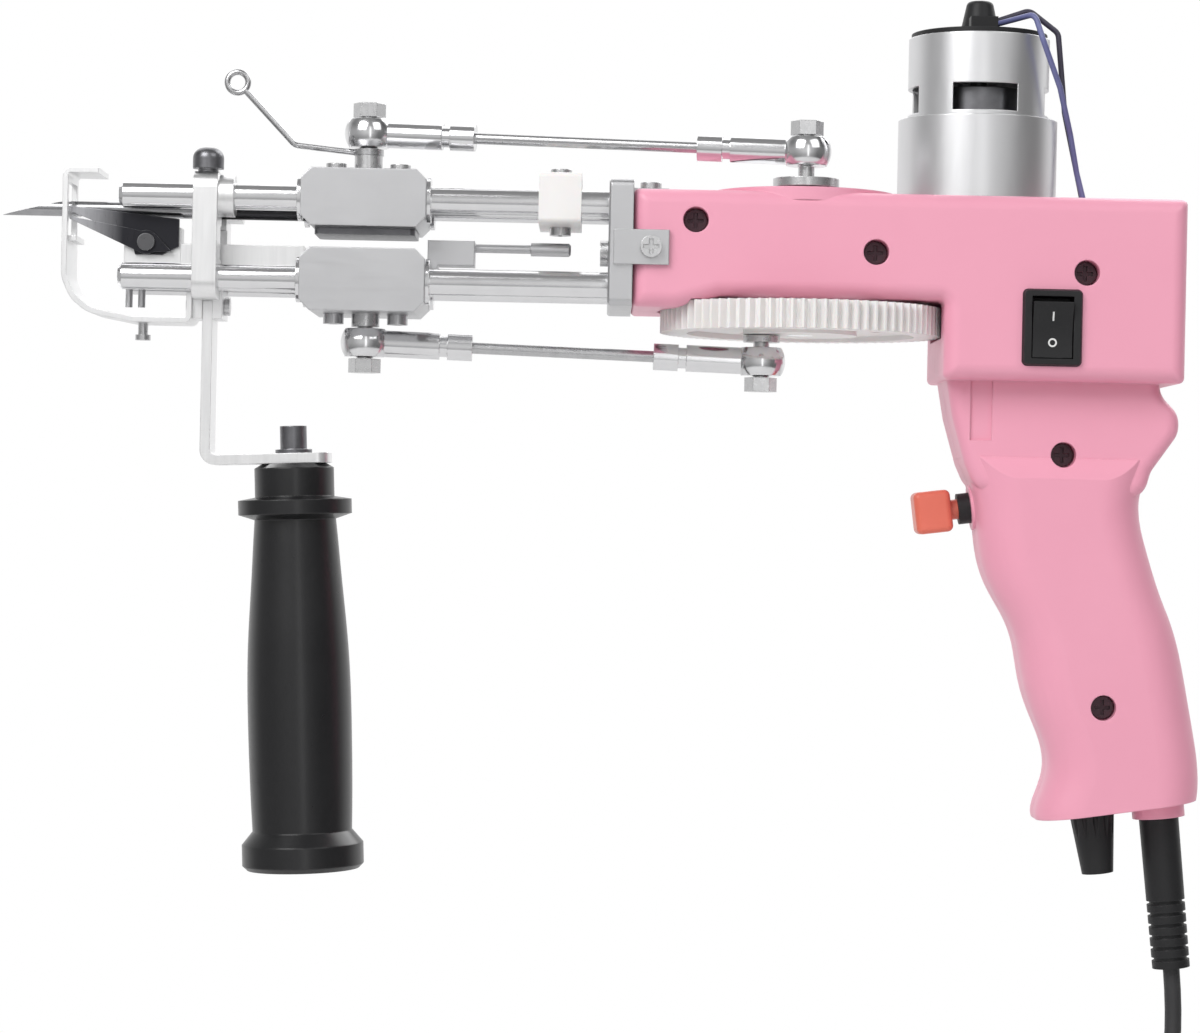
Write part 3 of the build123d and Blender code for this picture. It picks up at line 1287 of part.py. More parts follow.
# Screws of the foot: one across prongs, strap and foot tab, and the stop screw under the foot
with BuildPart() as foot_screws:
    bar_x(foot_stop_d, foot_tab_x - foot_thickness, prong_rear_x, 0, foot_cross_screw_z)
    bar_x(foot_cross_head_d, foot_tab_x - foot_thickness - foot_cross_front_h, foot_tab_x - foot_thickness,
          0, foot_cross_screw_z)
    bar_x(foot_cross_head_d, prong_rear_x, prong_rear_x + foot_stop_head_h, 0, foot_cross_screw_z)
    bar_z(foot_stop_d, foot_strap_z - foot_stop_below, foot_strap_z + foot_thickness, foot_stop_x, 0)
    bar_z(foot_stop_head_d, foot_strap_z - foot_stop_below - foot_stop_head_h,
          foot_strap_z - foot_stop_below, foot_stop_x, 0)
foot_screws.part.label = "foot_screws"
export_step(foot_screws.part, "parts/foot_screws.step")

# Bent strap from the front plate's fork to the side handle
handle_axis = direction_xz(handle_tilt - 90)
strap_leg_axis = direction_xz(handle_tilt)
handle_top_point = Vector(handle_top[0], 0, handle_top[1])
strap_leg_middle = handle_top_point - handle_axis * (strap_thickness / 2)
corner_reach = (plate_x - strap_leg_middle.X) / strap_leg_axis.X
end_reach = (strap_leg_end_x - strap_leg_middle.X) / strap_leg_axis.X
with BuildPart() as handle_strap:
    with BuildSketch(Plane.XZ.offset(-strap_half_width)) as strap_side:
        strap_corner = strap_leg_middle + strap_leg_axis * corner_reach
        strap_end = strap_leg_middle + strap_leg_axis * end_reach
        with BuildLine() as strap_line:
            FilletPolyline((plate_x, strap_top_z), (strap_corner.X, strap_corner.Z),
                           (strap_end.X, strap_end.Z), radius=strap_bend_r)
        trace(strap_line.line, line_width=strap_thickness)
    extrude(amount=2 * strap_half_width)
    fillet(handle_strap.faces().group_by(Axis.X)[-1].edges().filter_by(Axis.Z, tolerance=handle_tilt * 2),
           radius=strap_half_width - strap_thickness)
    with Locations(Plane(origin=strap_leg_middle, z_dir=handle_axis)):
        Cylinder(bolt_d / 2, 2 * strap_thickness, mode=Mode.SUBTRACT)
    bar_x(foot_stop_d, plate_x - strap_thickness, plate_x + strap_thickness, 0, foot_cross_screw_z,
          mode=Mode.SUBTRACT)
handle_strap.part.label = "handle_strap"
export_step(handle_strap.part, "parts/handle_strap.step")

# Side handle, turned: collar, rolled rim, long body and flat foot
with BuildPart() as side_handle:
    with BuildSketch(Plane(origin=handle_top_point, x_dir=strap_leg_axis, z_dir=(0, 1, 0))):
        with BuildLine():
            collar_line = Polyline((0, 0), *handle_collar)
            body_line = Spline(collar_line @ 1,
                               *((radius, share * handle_length) for radius, share in handle_body),
                               tangents=((handle_start_slope, 1), (handle_end_slope, 1)))
            Polyline(body_line @ 1, (handle_base_r, handle_length - handle_base_h),
                     (handle_base_r, handle_length - handle_base_edge_r),
                     (handle_base_r - handle_base_edge_r, handle_length), (0, handle_length), (0, 0))
        make_face()
    revolve(axis=Axis(handle_top_point, handle_axis))
    with Locations(Plane(origin=handle_top_point, z_dir=handle_axis)):
        Cylinder(handle_bore_d / 2, handle_bore_depth, align=low_end,
                 mode=Mode.SUBTRACT)
side_handle.part.label = "side_handle"
export_step(side_handle.part, "parts/side_handle.step")

# Bolt and washer that hold the side handle to the strap
with BuildPart() as handle_bolt:
    with Locations(Plane(origin=handle_top_point - handle_axis * strap_thickness, z_dir=handle_axis)):
        Cylinder(bolt_d / 2, strap_thickness + handle_bore_depth - overrun,
                 align=low_end)
        Cylinder(bolt_washer_d / 2, bolt_washer_h, align=high_end)
        with Locations((0, 0, -bolt_washer_h)):
            Cylinder(bolt_head_d / 2, bolt_head_h, align=high_end)
    with BuildSketch(Plane(origin=handle_top_point - handle_axis * (strap_thickness + bolt_washer_h
                                                                   + bolt_head_h), z_dir=handle_axis)):
        RegularPolygon(bolt_head_d * hex_socket_share / 2, 6)
    extrude(amount=bolt_head_h * hex_socket_share, mode=Mode.SUBTRACT)
handle_bolt.part.label = "handle_bolt"
export_step(handle_bolt.part, "parts/handle_bolt.step")

# Rocker switch: frame with its pocket, and the rocker on two trunnions
pivot_y = -box_half_width + rocker_pivot_depth
pocket_half_length = rocker_length / 2 + rocker_swing_room
with BuildPart() as rocker_frame:
    with BuildSketch(Plane.XZ.offset(box_half_width)):
        with Locations((rocker_x, rocker_z)):
            RectangleRounded(bezel_width, bezel_length, bezel_corner_r)
    extrude(amount=bezel_h, taper=bezel_taper)
    box_between((rocker_x - switch_width / 2, -box_half_width, rocker_z - switch_length / 2),
                (rocker_x + switch_width / 2, -box_half_width + switch_depth, rocker_z + switch_length / 2))
    box_between((rocker_x - rocker_width / 2 - seat_gap, -box_half_width - 2 * bezel_h,
                 rocker_z - pocket_half_length),
                (rocker_x + rocker_width / 2 + seat_gap, pivot_y + rocker_pocket_depth,
                 rocker_z + pocket_half_length), mode=Mode.SUBTRACT)
    bar_x(trunnion_d + 2 * running_gap, rocker_x - rocker_width / 2 - trunnion_length - running_gap,
          rocker_x + rocker_width / 2 + trunnion_length + running_gap, pivot_y, rocker_z,
          mode=Mode.SUBTRACT)
rocker_frame.part.label = "rocker_frame"
export_step(rocker_frame.part, "parts/rocker_frame.step")

rocker_slope = math.radians(rocker_tilt)
with BuildPart() as rocker:
    with BuildSketch(Plane(origin=(rocker_x - rocker_width / 2, pivot_y, rocker_z),
                           x_dir=(0, -math.sin(rocker_slope), math.cos(rocker_slope)), z_dir=(1, 0, 0))):
        with BuildLine():
            rim = rocker_length / 2
            ThreePointArc((-rim, rocker_end_rise), (0, rocker_end_rise - rocker_dish), (rim, rocker_end_rise))
            Polyline((rim, rocker_end_rise), (rim * rocker_waist_share, rocker_waist_rise),
                     (rocker_foot_half, -rocker_foot_drop), (-rocker_foot_half, -rocker_foot_drop),
                     (-rim * rocker_waist_share, rocker_waist_rise), (-rim, rocker_end_rise))
        make_face()
    extrude(amount=rocker_width)
    bar_x(trunnion_d, rocker_x - rocker_width / 2 - trunnion_length,
          rocker_x + rocker_width / 2 + trunnion_length, pivot_y, rocker_z)
rocker.part.label = "rocker"
export_step(rocker.part, "parts/rocker.step")

# Trigger button with its stem, and the switch with the threaded bushing that the stem slides in
trigger_place = Plane(origin=(trigger_at[0], 0, trigger_at[1]), x_dir=(0, 1, 0), z_dir=trigger_direction)
with BuildPart() as trigger_button:
    with Locations(trigger_place):
        Box(trigger_width, trigger_height, trigger_length, align=low_end)
    fillet(trigger_button.edges(), radius=trigger_edge_r)
    with Locations(trigger_place):
        with Locations((0, 0, trigger_length / 2)):
            Cylinder(trigger_stem_d / 2, trigger_length / 2 + trigger_stem_length, align=low_end)
trigger_button.part.label = "trigger_button"
export_step(trigger_button.part, "parts/trigger_button.step")

with BuildPart() as trigger_switch:
    with Locations(trigger_place):
        with Locations((0, 0, trigger_bushing_start)):
            Cylinder(trigger_bushing_d / 2, switch_body_start - trigger_bushing_start, align=low_end)
        with Locations((0, 0, switch_body_start)):
            Box(2 * switch_body_half_width, switch_body_height, switch_body_length, align=low_end)
        with Locations((0, 0, trigger_bushing_start)):
            Cylinder(trigger_stem_d / 2 + running_gap,
                     switch_body_start - trigger_bushing_start + switch_bore_depth, align=low_end,
                     mode=Mode.SUBTRACT)
trigger_switch.part.label = "trigger_switch"
export_step(trigger_switch.part, "parts/trigger_switch.step")

# Speed control: potentiometer inside the foot of the grip, fluted knob outside
pot_place = Plane(origin=(knob_axis_at[0], 0, knob_axis_at[1]), z_dir=knob_direction)
with BuildPart() as speed_pot:
    with Locations(pot_place):
        Cylinder(pot_shaft_d / 2, pot_shaft_length, align=low_end)
        Cylinder(pot_thread_d / 2, grip_wall + 2 * seat_gap, align=high_end)
        with Locations((0, 0, -grip_wall - 2 * seat_gap)):
            Cylinder(pot_body_d / 2, pot_body_h, align=high_end)
speed_pot.part.label = "speed_pot"
export_step(speed_pot.part, "parts/speed_pot.step")

with BuildPart() as speed_knob:
    with Locations(pot_place):
        with Locations((0, 0, speed_knob_gap)):
            Cone(speed_knob_d / 2, speed_knob_tip_d / 2, speed_knob_length, align=low_end)
            with PolarLocations(speed_knob_d / 2, speed_knob_flutes):
                Cylinder(speed_flute_d / 2, 2 * speed_knob_length, mode=Mode.SUBTRACT)
            Cylinder(pot_shaft_d / 2 + running_gap, pot_shaft_length, align=low_end, mode=Mode.SUBTRACT)
speed_knob.part.label = "speed_knob"
export_step(speed_knob.part, "parts/speed_knob.step")

# Ribbed strain relief: neck through the housing's boss, flange inside, cone outside
relief_place = Plane(origin=(relief_at[0], 0, relief_at[1]), z_dir=relief_direction)
relief_length = (Vector(relief_end[0], 0, relief_end[1]) - Vector(relief_at[0], 0, relief_at[1])).length
relief_cone_length = relief_length - relief_boss_length
rib_pitch = relief_cone_length * relief_ribbed_share / relief_ribs
with BuildPart() as strain_relief:
    with Locations(relief_place):
        with Locations((0, 0, relief_boss_length)):
            Cone(relief_top_d / 2, relief_end_d / 2, relief_cone_length, align=low_end)
            Cylinder(relief_neck_d / 2 - running_gap, relief_boss_length + relief_flange_depth,
                     align=high_end)
        with Locations((0, 0, -relief_flange_depth)):
            Cylinder(relief_top_d / 2, relief_flange_h, align=high_end)
        for rib in range(relief_ribs):
            with Locations((0, 0, relief_length - (rib + 1) * rib_pitch)):
                Cylinder(relief_top_d, relief_rib_gap, align=low_end, mode=Mode.SUBTRACT)
                Cylinder(relief_end_d / 2 - relief_rib_depth, relief_rib_gap, align=low_end)
strain_relief.part.label = "strain_relief"
export_step(strain_relief.part, "parts/strain_relief.step")


def corner_radii(points):
    """The largest arcs that the runs on both sides of each corner have room for."""
    radii = []
    for before, corner, after in zip(points, points[1:], points[2:]):
        arriving = Vector(*corner) - Vector(*before)
        leaving = Vector(*after) - Vector(*corner)
        shorter = min(arriving.length, leaving.length)
        half_turn = math.radians(arriving.get_angle(leaving) / 2)
        radii.append(cord_arc_share * shorter / math.tan(half_turn))
    return radii


# Power cord, from the strain relief down to the coil
cord_radii = corner_radii(cord_route)
with BuildPart() as cord:
    with BuildLine() as cord_line:
        FilletPolyline(*cord_route, radius=cord_radii)
    cord_path = cord_line.wire()
    with BuildSketch(Plane(origin=cord_path @ 0, z_dir=cord_path % 0)) as cord_section:
        RegularPolygon(cord_d / 2, cord_sides)
    sweep(path=cord_path)
cord.part.label = "cord"
export_step(cord.part, "parts/cord.step")
print("cord radii", [round(radius, 1) for radius in cord_radii])
print("cord volume", cord.part.volume, "section x length", cord_section.sketch.area * cord_path.length)

# Coil of the rest of the cord: four layers that spiral in and out, clockwise seen from -Y
join_run = Vector(*cord_route[-1]) - Vector(*cord_route[-2])
join_direction = join_run.normalized()
join_angle = math.degrees(math.atan2(join_run.Z, join_run.X))
coil_start = Vector(*cord_route[-1]) + join_direction * cord_d
start_drift = math.degrees(math.atan(coil_pitch / (2 * math.pi * coil_outer_r)))
coil_start_angle = join_angle + 90 + start_drift
coil_centre = coil_start - direction_xz(coil_start_angle) * coil_outer_r
coil_inner_r = coil_outer_r - coil_pitch * coil_turns_per_layer
layer_period = coil_turns_per_layer + coil_climb_turns


def coil_place(turn):
    """The cord's middle after so many turns of the coil."""
    layer = min(int(turn // layer_period), coil_layers - 1)
    along = turn - layer * layer_period
    climb = max(0, along - coil_turns_per_layer)
    wound = min(along, coil_turns_per_layer)
    beyond = coil_pitch * (climb - climb ** 2 / coil_climb_turns)
    if layer % 2 == 0:
        radius = coil_outer_r - coil_pitch * wound - beyond
    else:
        radius = coil_inner_r + coil_pitch * wound + beyond
    climb_share = climb / coil_climb_turns
    y = coil_start.Y + coil_pitch * (layer + climb_share ** 2 * (3 - 2 * climb_share))
    flat = direction_xz(coil_start_angle - 360 * turn) * radius
    return Vector(coil_centre.X + flat.X, y, coil_centre.Z + flat.Z)


def coil_tangent(turn):
    """The direction of the cord at that place."""
    return (coil_place(turn + tangent_step) - coil_place(turn - tangent_step)).normalized()


# The last turn ends where the cord points straight down, so that the plug hangs from it
coil_whole_turns = int(coil_layers * layer_period - coil_climb_turns)
last_radius = coil_inner_r + coil_pitch * (coil_turns_per_layer - coil_climb_turns)
end_drift = math.degrees(math.atan(coil_pitch / (2 * math.pi * last_radius)))
coil_end_turn = coil_whole_turns + (coil_start_angle + end_drift) / 360
sample_turns = [n / coil_samples for n in range(int(coil_end_turn * coil_samples) + 1)] + [coil_end_turn]

with BuildPart() as cord_coil:
    coil_points = [coil_place(turn) for turn in sample_turns]
    coil_tangents = [join_direction] + [coil_tangent(turn) for turn in sample_turns[1:]]
    coil_end = coil_points[-1] + coil_tangents[-1] * plug_lead
    coil_edges = [Edge.make_line(Vector(*cord_route[-1]), coil_points[0])]
    for start, start_way, end, end_way in zip(coil_points, coil_tangents, coil_points[1:], coil_tangents[1:]):
        chord = end - start
        ways = start_way + end_way
        bend = 2 * (1 - start_way.dot(end_way))
        reach = (math.sqrt(chord.dot(ways) ** 2 + bend * chord.dot(chord)) - chord.dot(ways)) / bend
        first_corner = start + start_way * reach
        second_corner = end - end_way * reach
        middle = (first_corner + second_corner) * 0.5
        coil_edges.append(Edge.make_tangent_arc(start, start_way, middle))
        coil_edges.append(Edge.make_tangent_arc(middle, second_corner - first_corner, end))
    coil_edges.append(Edge.make_line(coil_points[-1], coil_end))
    coil_wire = Wire(coil_edges)
    with BuildSketch(Plane(origin=cord_route[-1], z_dir=join_direction)) as coil_section:
        RegularPolygon(cord_d / 2, cord_sides)
    sweep(path=coil_wire, clean=False)
cord_coil.part.label = "cord_coil"
export_step(cord_coil.part, "parts/cord_coil.step")
print("coil volume", cord_coil.part.volume, "section x length", coil_section.sketch.area * coil_wire.length)
print("cord length", cord_path.length + coil_wire.length)

# Least gap between the coil's turns, from points along it that lie at least half a turn apart
gap_turns = [n / coil_gap_samples for n in range(int(coil_end_turn * coil_gap_samples) + 1)]
gap_points = [coil_place(turn) for turn in gap_turns]
least_pitch = min((gap_points[i] - gap_points[j]).length
                  for i in range(len(gap_points))
                  for j in range(i + coil_gap_samples // 2, len(gap_points)))
print("least gap of the coil to itself", least_pitch - cord_d)

# Tie round the coil: a flat band that passes inside the smallest and outside the largest turn
tie_middle_r = (coil_outer_r + coil_inner_r) / 2
tie_half_reach = (coil_outer_r - coil_inner_r + coil_pitch * coil_climb_turns / 2 + cord_d) / 2 + tie_gap
tie_half_depth = (coil_pitch * (coil_layers - 1) + cord_d) / 2 + tie_gap
tie_radial = direction_xz(tie_angle)
tie_middle = Vector(coil_centre.X, coil_start.Y + coil_pitch * (coil_layers - 1) / 2, coil_centre.Z)
tie_middle += tie_radial * tie_middle_r
with BuildPart() as cord_tie:
    with BuildSketch(Plane(origin=tie_middle, x_dir=tie_radial, z_dir=direction_xz(tie_angle + 90))):
        RectangleRounded(2 * (tie_half_reach + tie_thickness), 2 * (tie_half_depth + tie_thickness),
                         cord_d / 2 + tie_thickness)
        RectangleRounded(2 * tie_half_reach, 2 * tie_half_depth, cord_d / 2, mode=Mode.SUBTRACT)
    extrude(amount=tie_width / 2, both=True)
cord_tie.part.label = "cord_tie"
export_step(cord_tie.part, "parts/cord_tie.step")

# Plug that hangs from the end of the coil: sleeve, body that widens to the nose, two round pins
plug_way = coil_tangents[-1]
plug_place = Plane(origin=coil_end, x_dir=(1, 0, 0), z_dir=plug_way)
with BuildPart() as plug_body:
    with Locations(plug_place):
        Cone(cord_d / 2 + tie_thickness, plug_neck_d / 2 + tie_thickness, plug_neck_length, align=low_end)
    with BuildSketch(plug_place.offset(plug_neck_length)):
        RectangleRounded(plug_width, plug_thickness, plug_edge_r)
    with BuildSketch(plug_place.offset(plug_neck_length + plug_length)):
        RectangleRounded(plug_nose_width, plug_thickness, plug_edge_r)
    loft()
    with Locations(plug_place.offset(plug_neck_length + plug_length)):
        with Locations((-pin_spacing / 2, 0), (pin_spacing / 2, 0)):
            Cylinder(pin_d / 2, pin_insert, align=high_end, mode=Mode.SUBTRACT)
plug_body.part.label = "plug_body"
export_step(plug_body.part, "parts/plug_body.step")

with BuildPart() as plug_pins:
    with Locations(plug_place.offset(plug_neck_length + plug_length - pin_insert)):
        with Locations((-pin_spacing / 2, 0), (pin_spacing / 2, 0)):
            Cylinder(pin_d / 2, pin_insert + pin_length, align=low_end)
    fillet(plug_pins.faces().sort_by(Axis.Z)[:2].edges(), radius=pin_d / 4)
plug_pins.part.label = "plug_pins"
export_step(plug_pins.part, "parts/plug_pins.step")
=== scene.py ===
"""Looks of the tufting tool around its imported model. Metres, in the model's own frame."""

import bpy
import bmesh
import math
from mathutils import Matrix, Vector
from mathutils.bvhtree import BVHTree
from typing import NamedTuple


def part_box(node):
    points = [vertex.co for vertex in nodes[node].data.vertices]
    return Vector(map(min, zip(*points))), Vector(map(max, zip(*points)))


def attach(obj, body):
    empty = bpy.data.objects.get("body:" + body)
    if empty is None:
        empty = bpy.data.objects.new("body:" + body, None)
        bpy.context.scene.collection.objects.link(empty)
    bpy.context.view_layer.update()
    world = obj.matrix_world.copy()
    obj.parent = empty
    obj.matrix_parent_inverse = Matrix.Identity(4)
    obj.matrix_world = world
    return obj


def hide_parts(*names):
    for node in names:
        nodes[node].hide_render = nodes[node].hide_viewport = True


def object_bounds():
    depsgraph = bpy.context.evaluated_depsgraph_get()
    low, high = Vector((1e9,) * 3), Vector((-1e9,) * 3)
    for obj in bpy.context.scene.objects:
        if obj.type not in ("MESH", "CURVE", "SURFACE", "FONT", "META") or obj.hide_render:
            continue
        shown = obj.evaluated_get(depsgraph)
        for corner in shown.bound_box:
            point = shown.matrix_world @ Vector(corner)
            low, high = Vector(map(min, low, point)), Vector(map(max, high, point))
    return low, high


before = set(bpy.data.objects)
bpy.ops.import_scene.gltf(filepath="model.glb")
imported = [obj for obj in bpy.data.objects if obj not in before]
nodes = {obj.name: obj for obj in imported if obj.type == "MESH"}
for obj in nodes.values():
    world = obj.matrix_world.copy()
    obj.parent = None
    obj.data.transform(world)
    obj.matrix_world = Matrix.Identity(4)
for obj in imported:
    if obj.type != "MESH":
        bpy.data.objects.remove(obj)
cad_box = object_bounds()

# Camera of the photograph
camera_place = (-0.143, -1.0, 0.028)
camera_lens_mm = 100.0
camera_roll = math.radians(1.2)

# Greys of the studio room from straight down to straight up, darker to its left and right
room_greys = [(0.0, 0.25), (0.2, 0.3), (0.38, 0.72), (0.48, 0.95), (0.6, 0.95), (0.76, 0.5), (1.0, 0.4)]
room_strength = 0.75
room_left_share = 0.62
room_left_span = (-0.85, -0.3)
room_right_share = 0.3
room_right_span = (0.2, 0.75)

# White backdrop: where it starts towards +Y, and how it fades in reflections away from eye height
backdrop_start_span = (0.1, 0.5)
backdrop_fade_span = (0.1, 0.6)
backdrop_faded = 0.5

# Soft boxes: name, place, place they point at, width, height, power in watts
soft_boxes = [
    ("key_left", (-0.75, -0.9, 0.85), (-0.13, 0, 0.08), 0.8, 0.8, 12),
    ("fill_right", (0.7, -0.9, 0.95), (-0.1, 0, 0.05), 0.9, 0.9, 5),
    ("front_strip", (0.02, -1.5, 0.2), (-0.14, 0, 0.03), 0.2, 1.5, 1.1),
    ("top_back", (-0.1, 0.8, 1.0), (-0.1, 0, 0.1), 1.9, 1.2, 9.5),
    ("rear_right", (0.8, 0.85, 1.1), (0, 0, 0.05), 1.1, 1.1, 8),
]

# Floor
floor_radius = 0.9
floor_middle = (-0.1, 0.05)
floor_segments = 96
floor_gap = 0.001
floor_grey = 0.8
floor_roughness = (0.6, 0.8)

# Power cord, the same route as in the model
cord_radius = 0.0025
cord_route = [(0.0311, 0.0, -0.1035), (0.0325, 0.0, -0.1174), (0.0306, -0.0033, -0.1369),
              (0.0296, -0.0073, -0.1562), (0.0404, -0.0093, -0.1724), (0.05829, -0.0093, -0.17963)]
coil_outer_r = 0.0365
coil_pitch = 0.0062
coil_layers = 4
coil_turns_per_layer = 2.5
coil_climb_turns = 0.5
coil_points_per_turn = 16
coil_straight = 0.005
plug_lead = 0.02

# Switch marks on the rocker
mark_size = 0.0026
mark_stroke = 0.0005
mark_offset = 0.0038
mark_lift = 0.00003
mark_bar_steps = 8
mark_ring_steps = 32


class Noise(NamedTuple):
    """Cloudy noise: its features a metre, its octaves, and its share of the features along X, Y and Z."""
    scale: float
    octaves: float = 3
    stretch: tuple = ()


class Pebbles(NamedTuple):
    """Rounded cells, so many a metre."""
    scale: float


class Relief(NamedTuple):
    """A pattern in relief, with its depth in metres and its strength."""
    pattern: Noise | Pebbles
    depth: float
    strength: float


class Change(NamedTuple):
    """Another colour along an axis, from the place where it starts to the place where it is full."""
    axis: str
    start: float
    full: float
    colour: tuple


class Finish(NamedTuple):
    """How a surface looks, and the pieces that have it.

    The clouds mix the dark and the light colour, and the gloss noise moves the roughness within its span.
    Edges seem rounded to the edge radius, in metres, and take the worn colour in patches. Colours are
    linear, and plain holds the shader's other values.
    """
    dark: tuple
    light: tuple
    clouds: Noise
    roughness: tuple
    gloss: Noise
    metallic: float = 0.0
    edge_radius: float = 0.0
    worn: tuple = ()
    relief: Relief | None = None
    change: Change | None = None
    plain: dict = {}
    pieces: tuple = ()


# What all noises share
noise_roughness = 0.55

# Rounded edges and the patches of wear on them
edge_samples = 6
wear_turn_span = (0.99, 0.8)
wear_patches = Noise(350, 4)
wear_patch_span = (0.35, 0.65)
wear_least = 0.15

# Grain along X or Z that more than one of colour, gloss and relief follow
tool_marks = Noise(900, 3, (0.12, 1, 1))
draw_lines = Noise(1500, 3, (0.06, 1, 1))
brush_grain = Noise(1600, 4, (1, 1, 0.05))
blade_grain = Noise(1800, 4, (1, 1, 0.1))

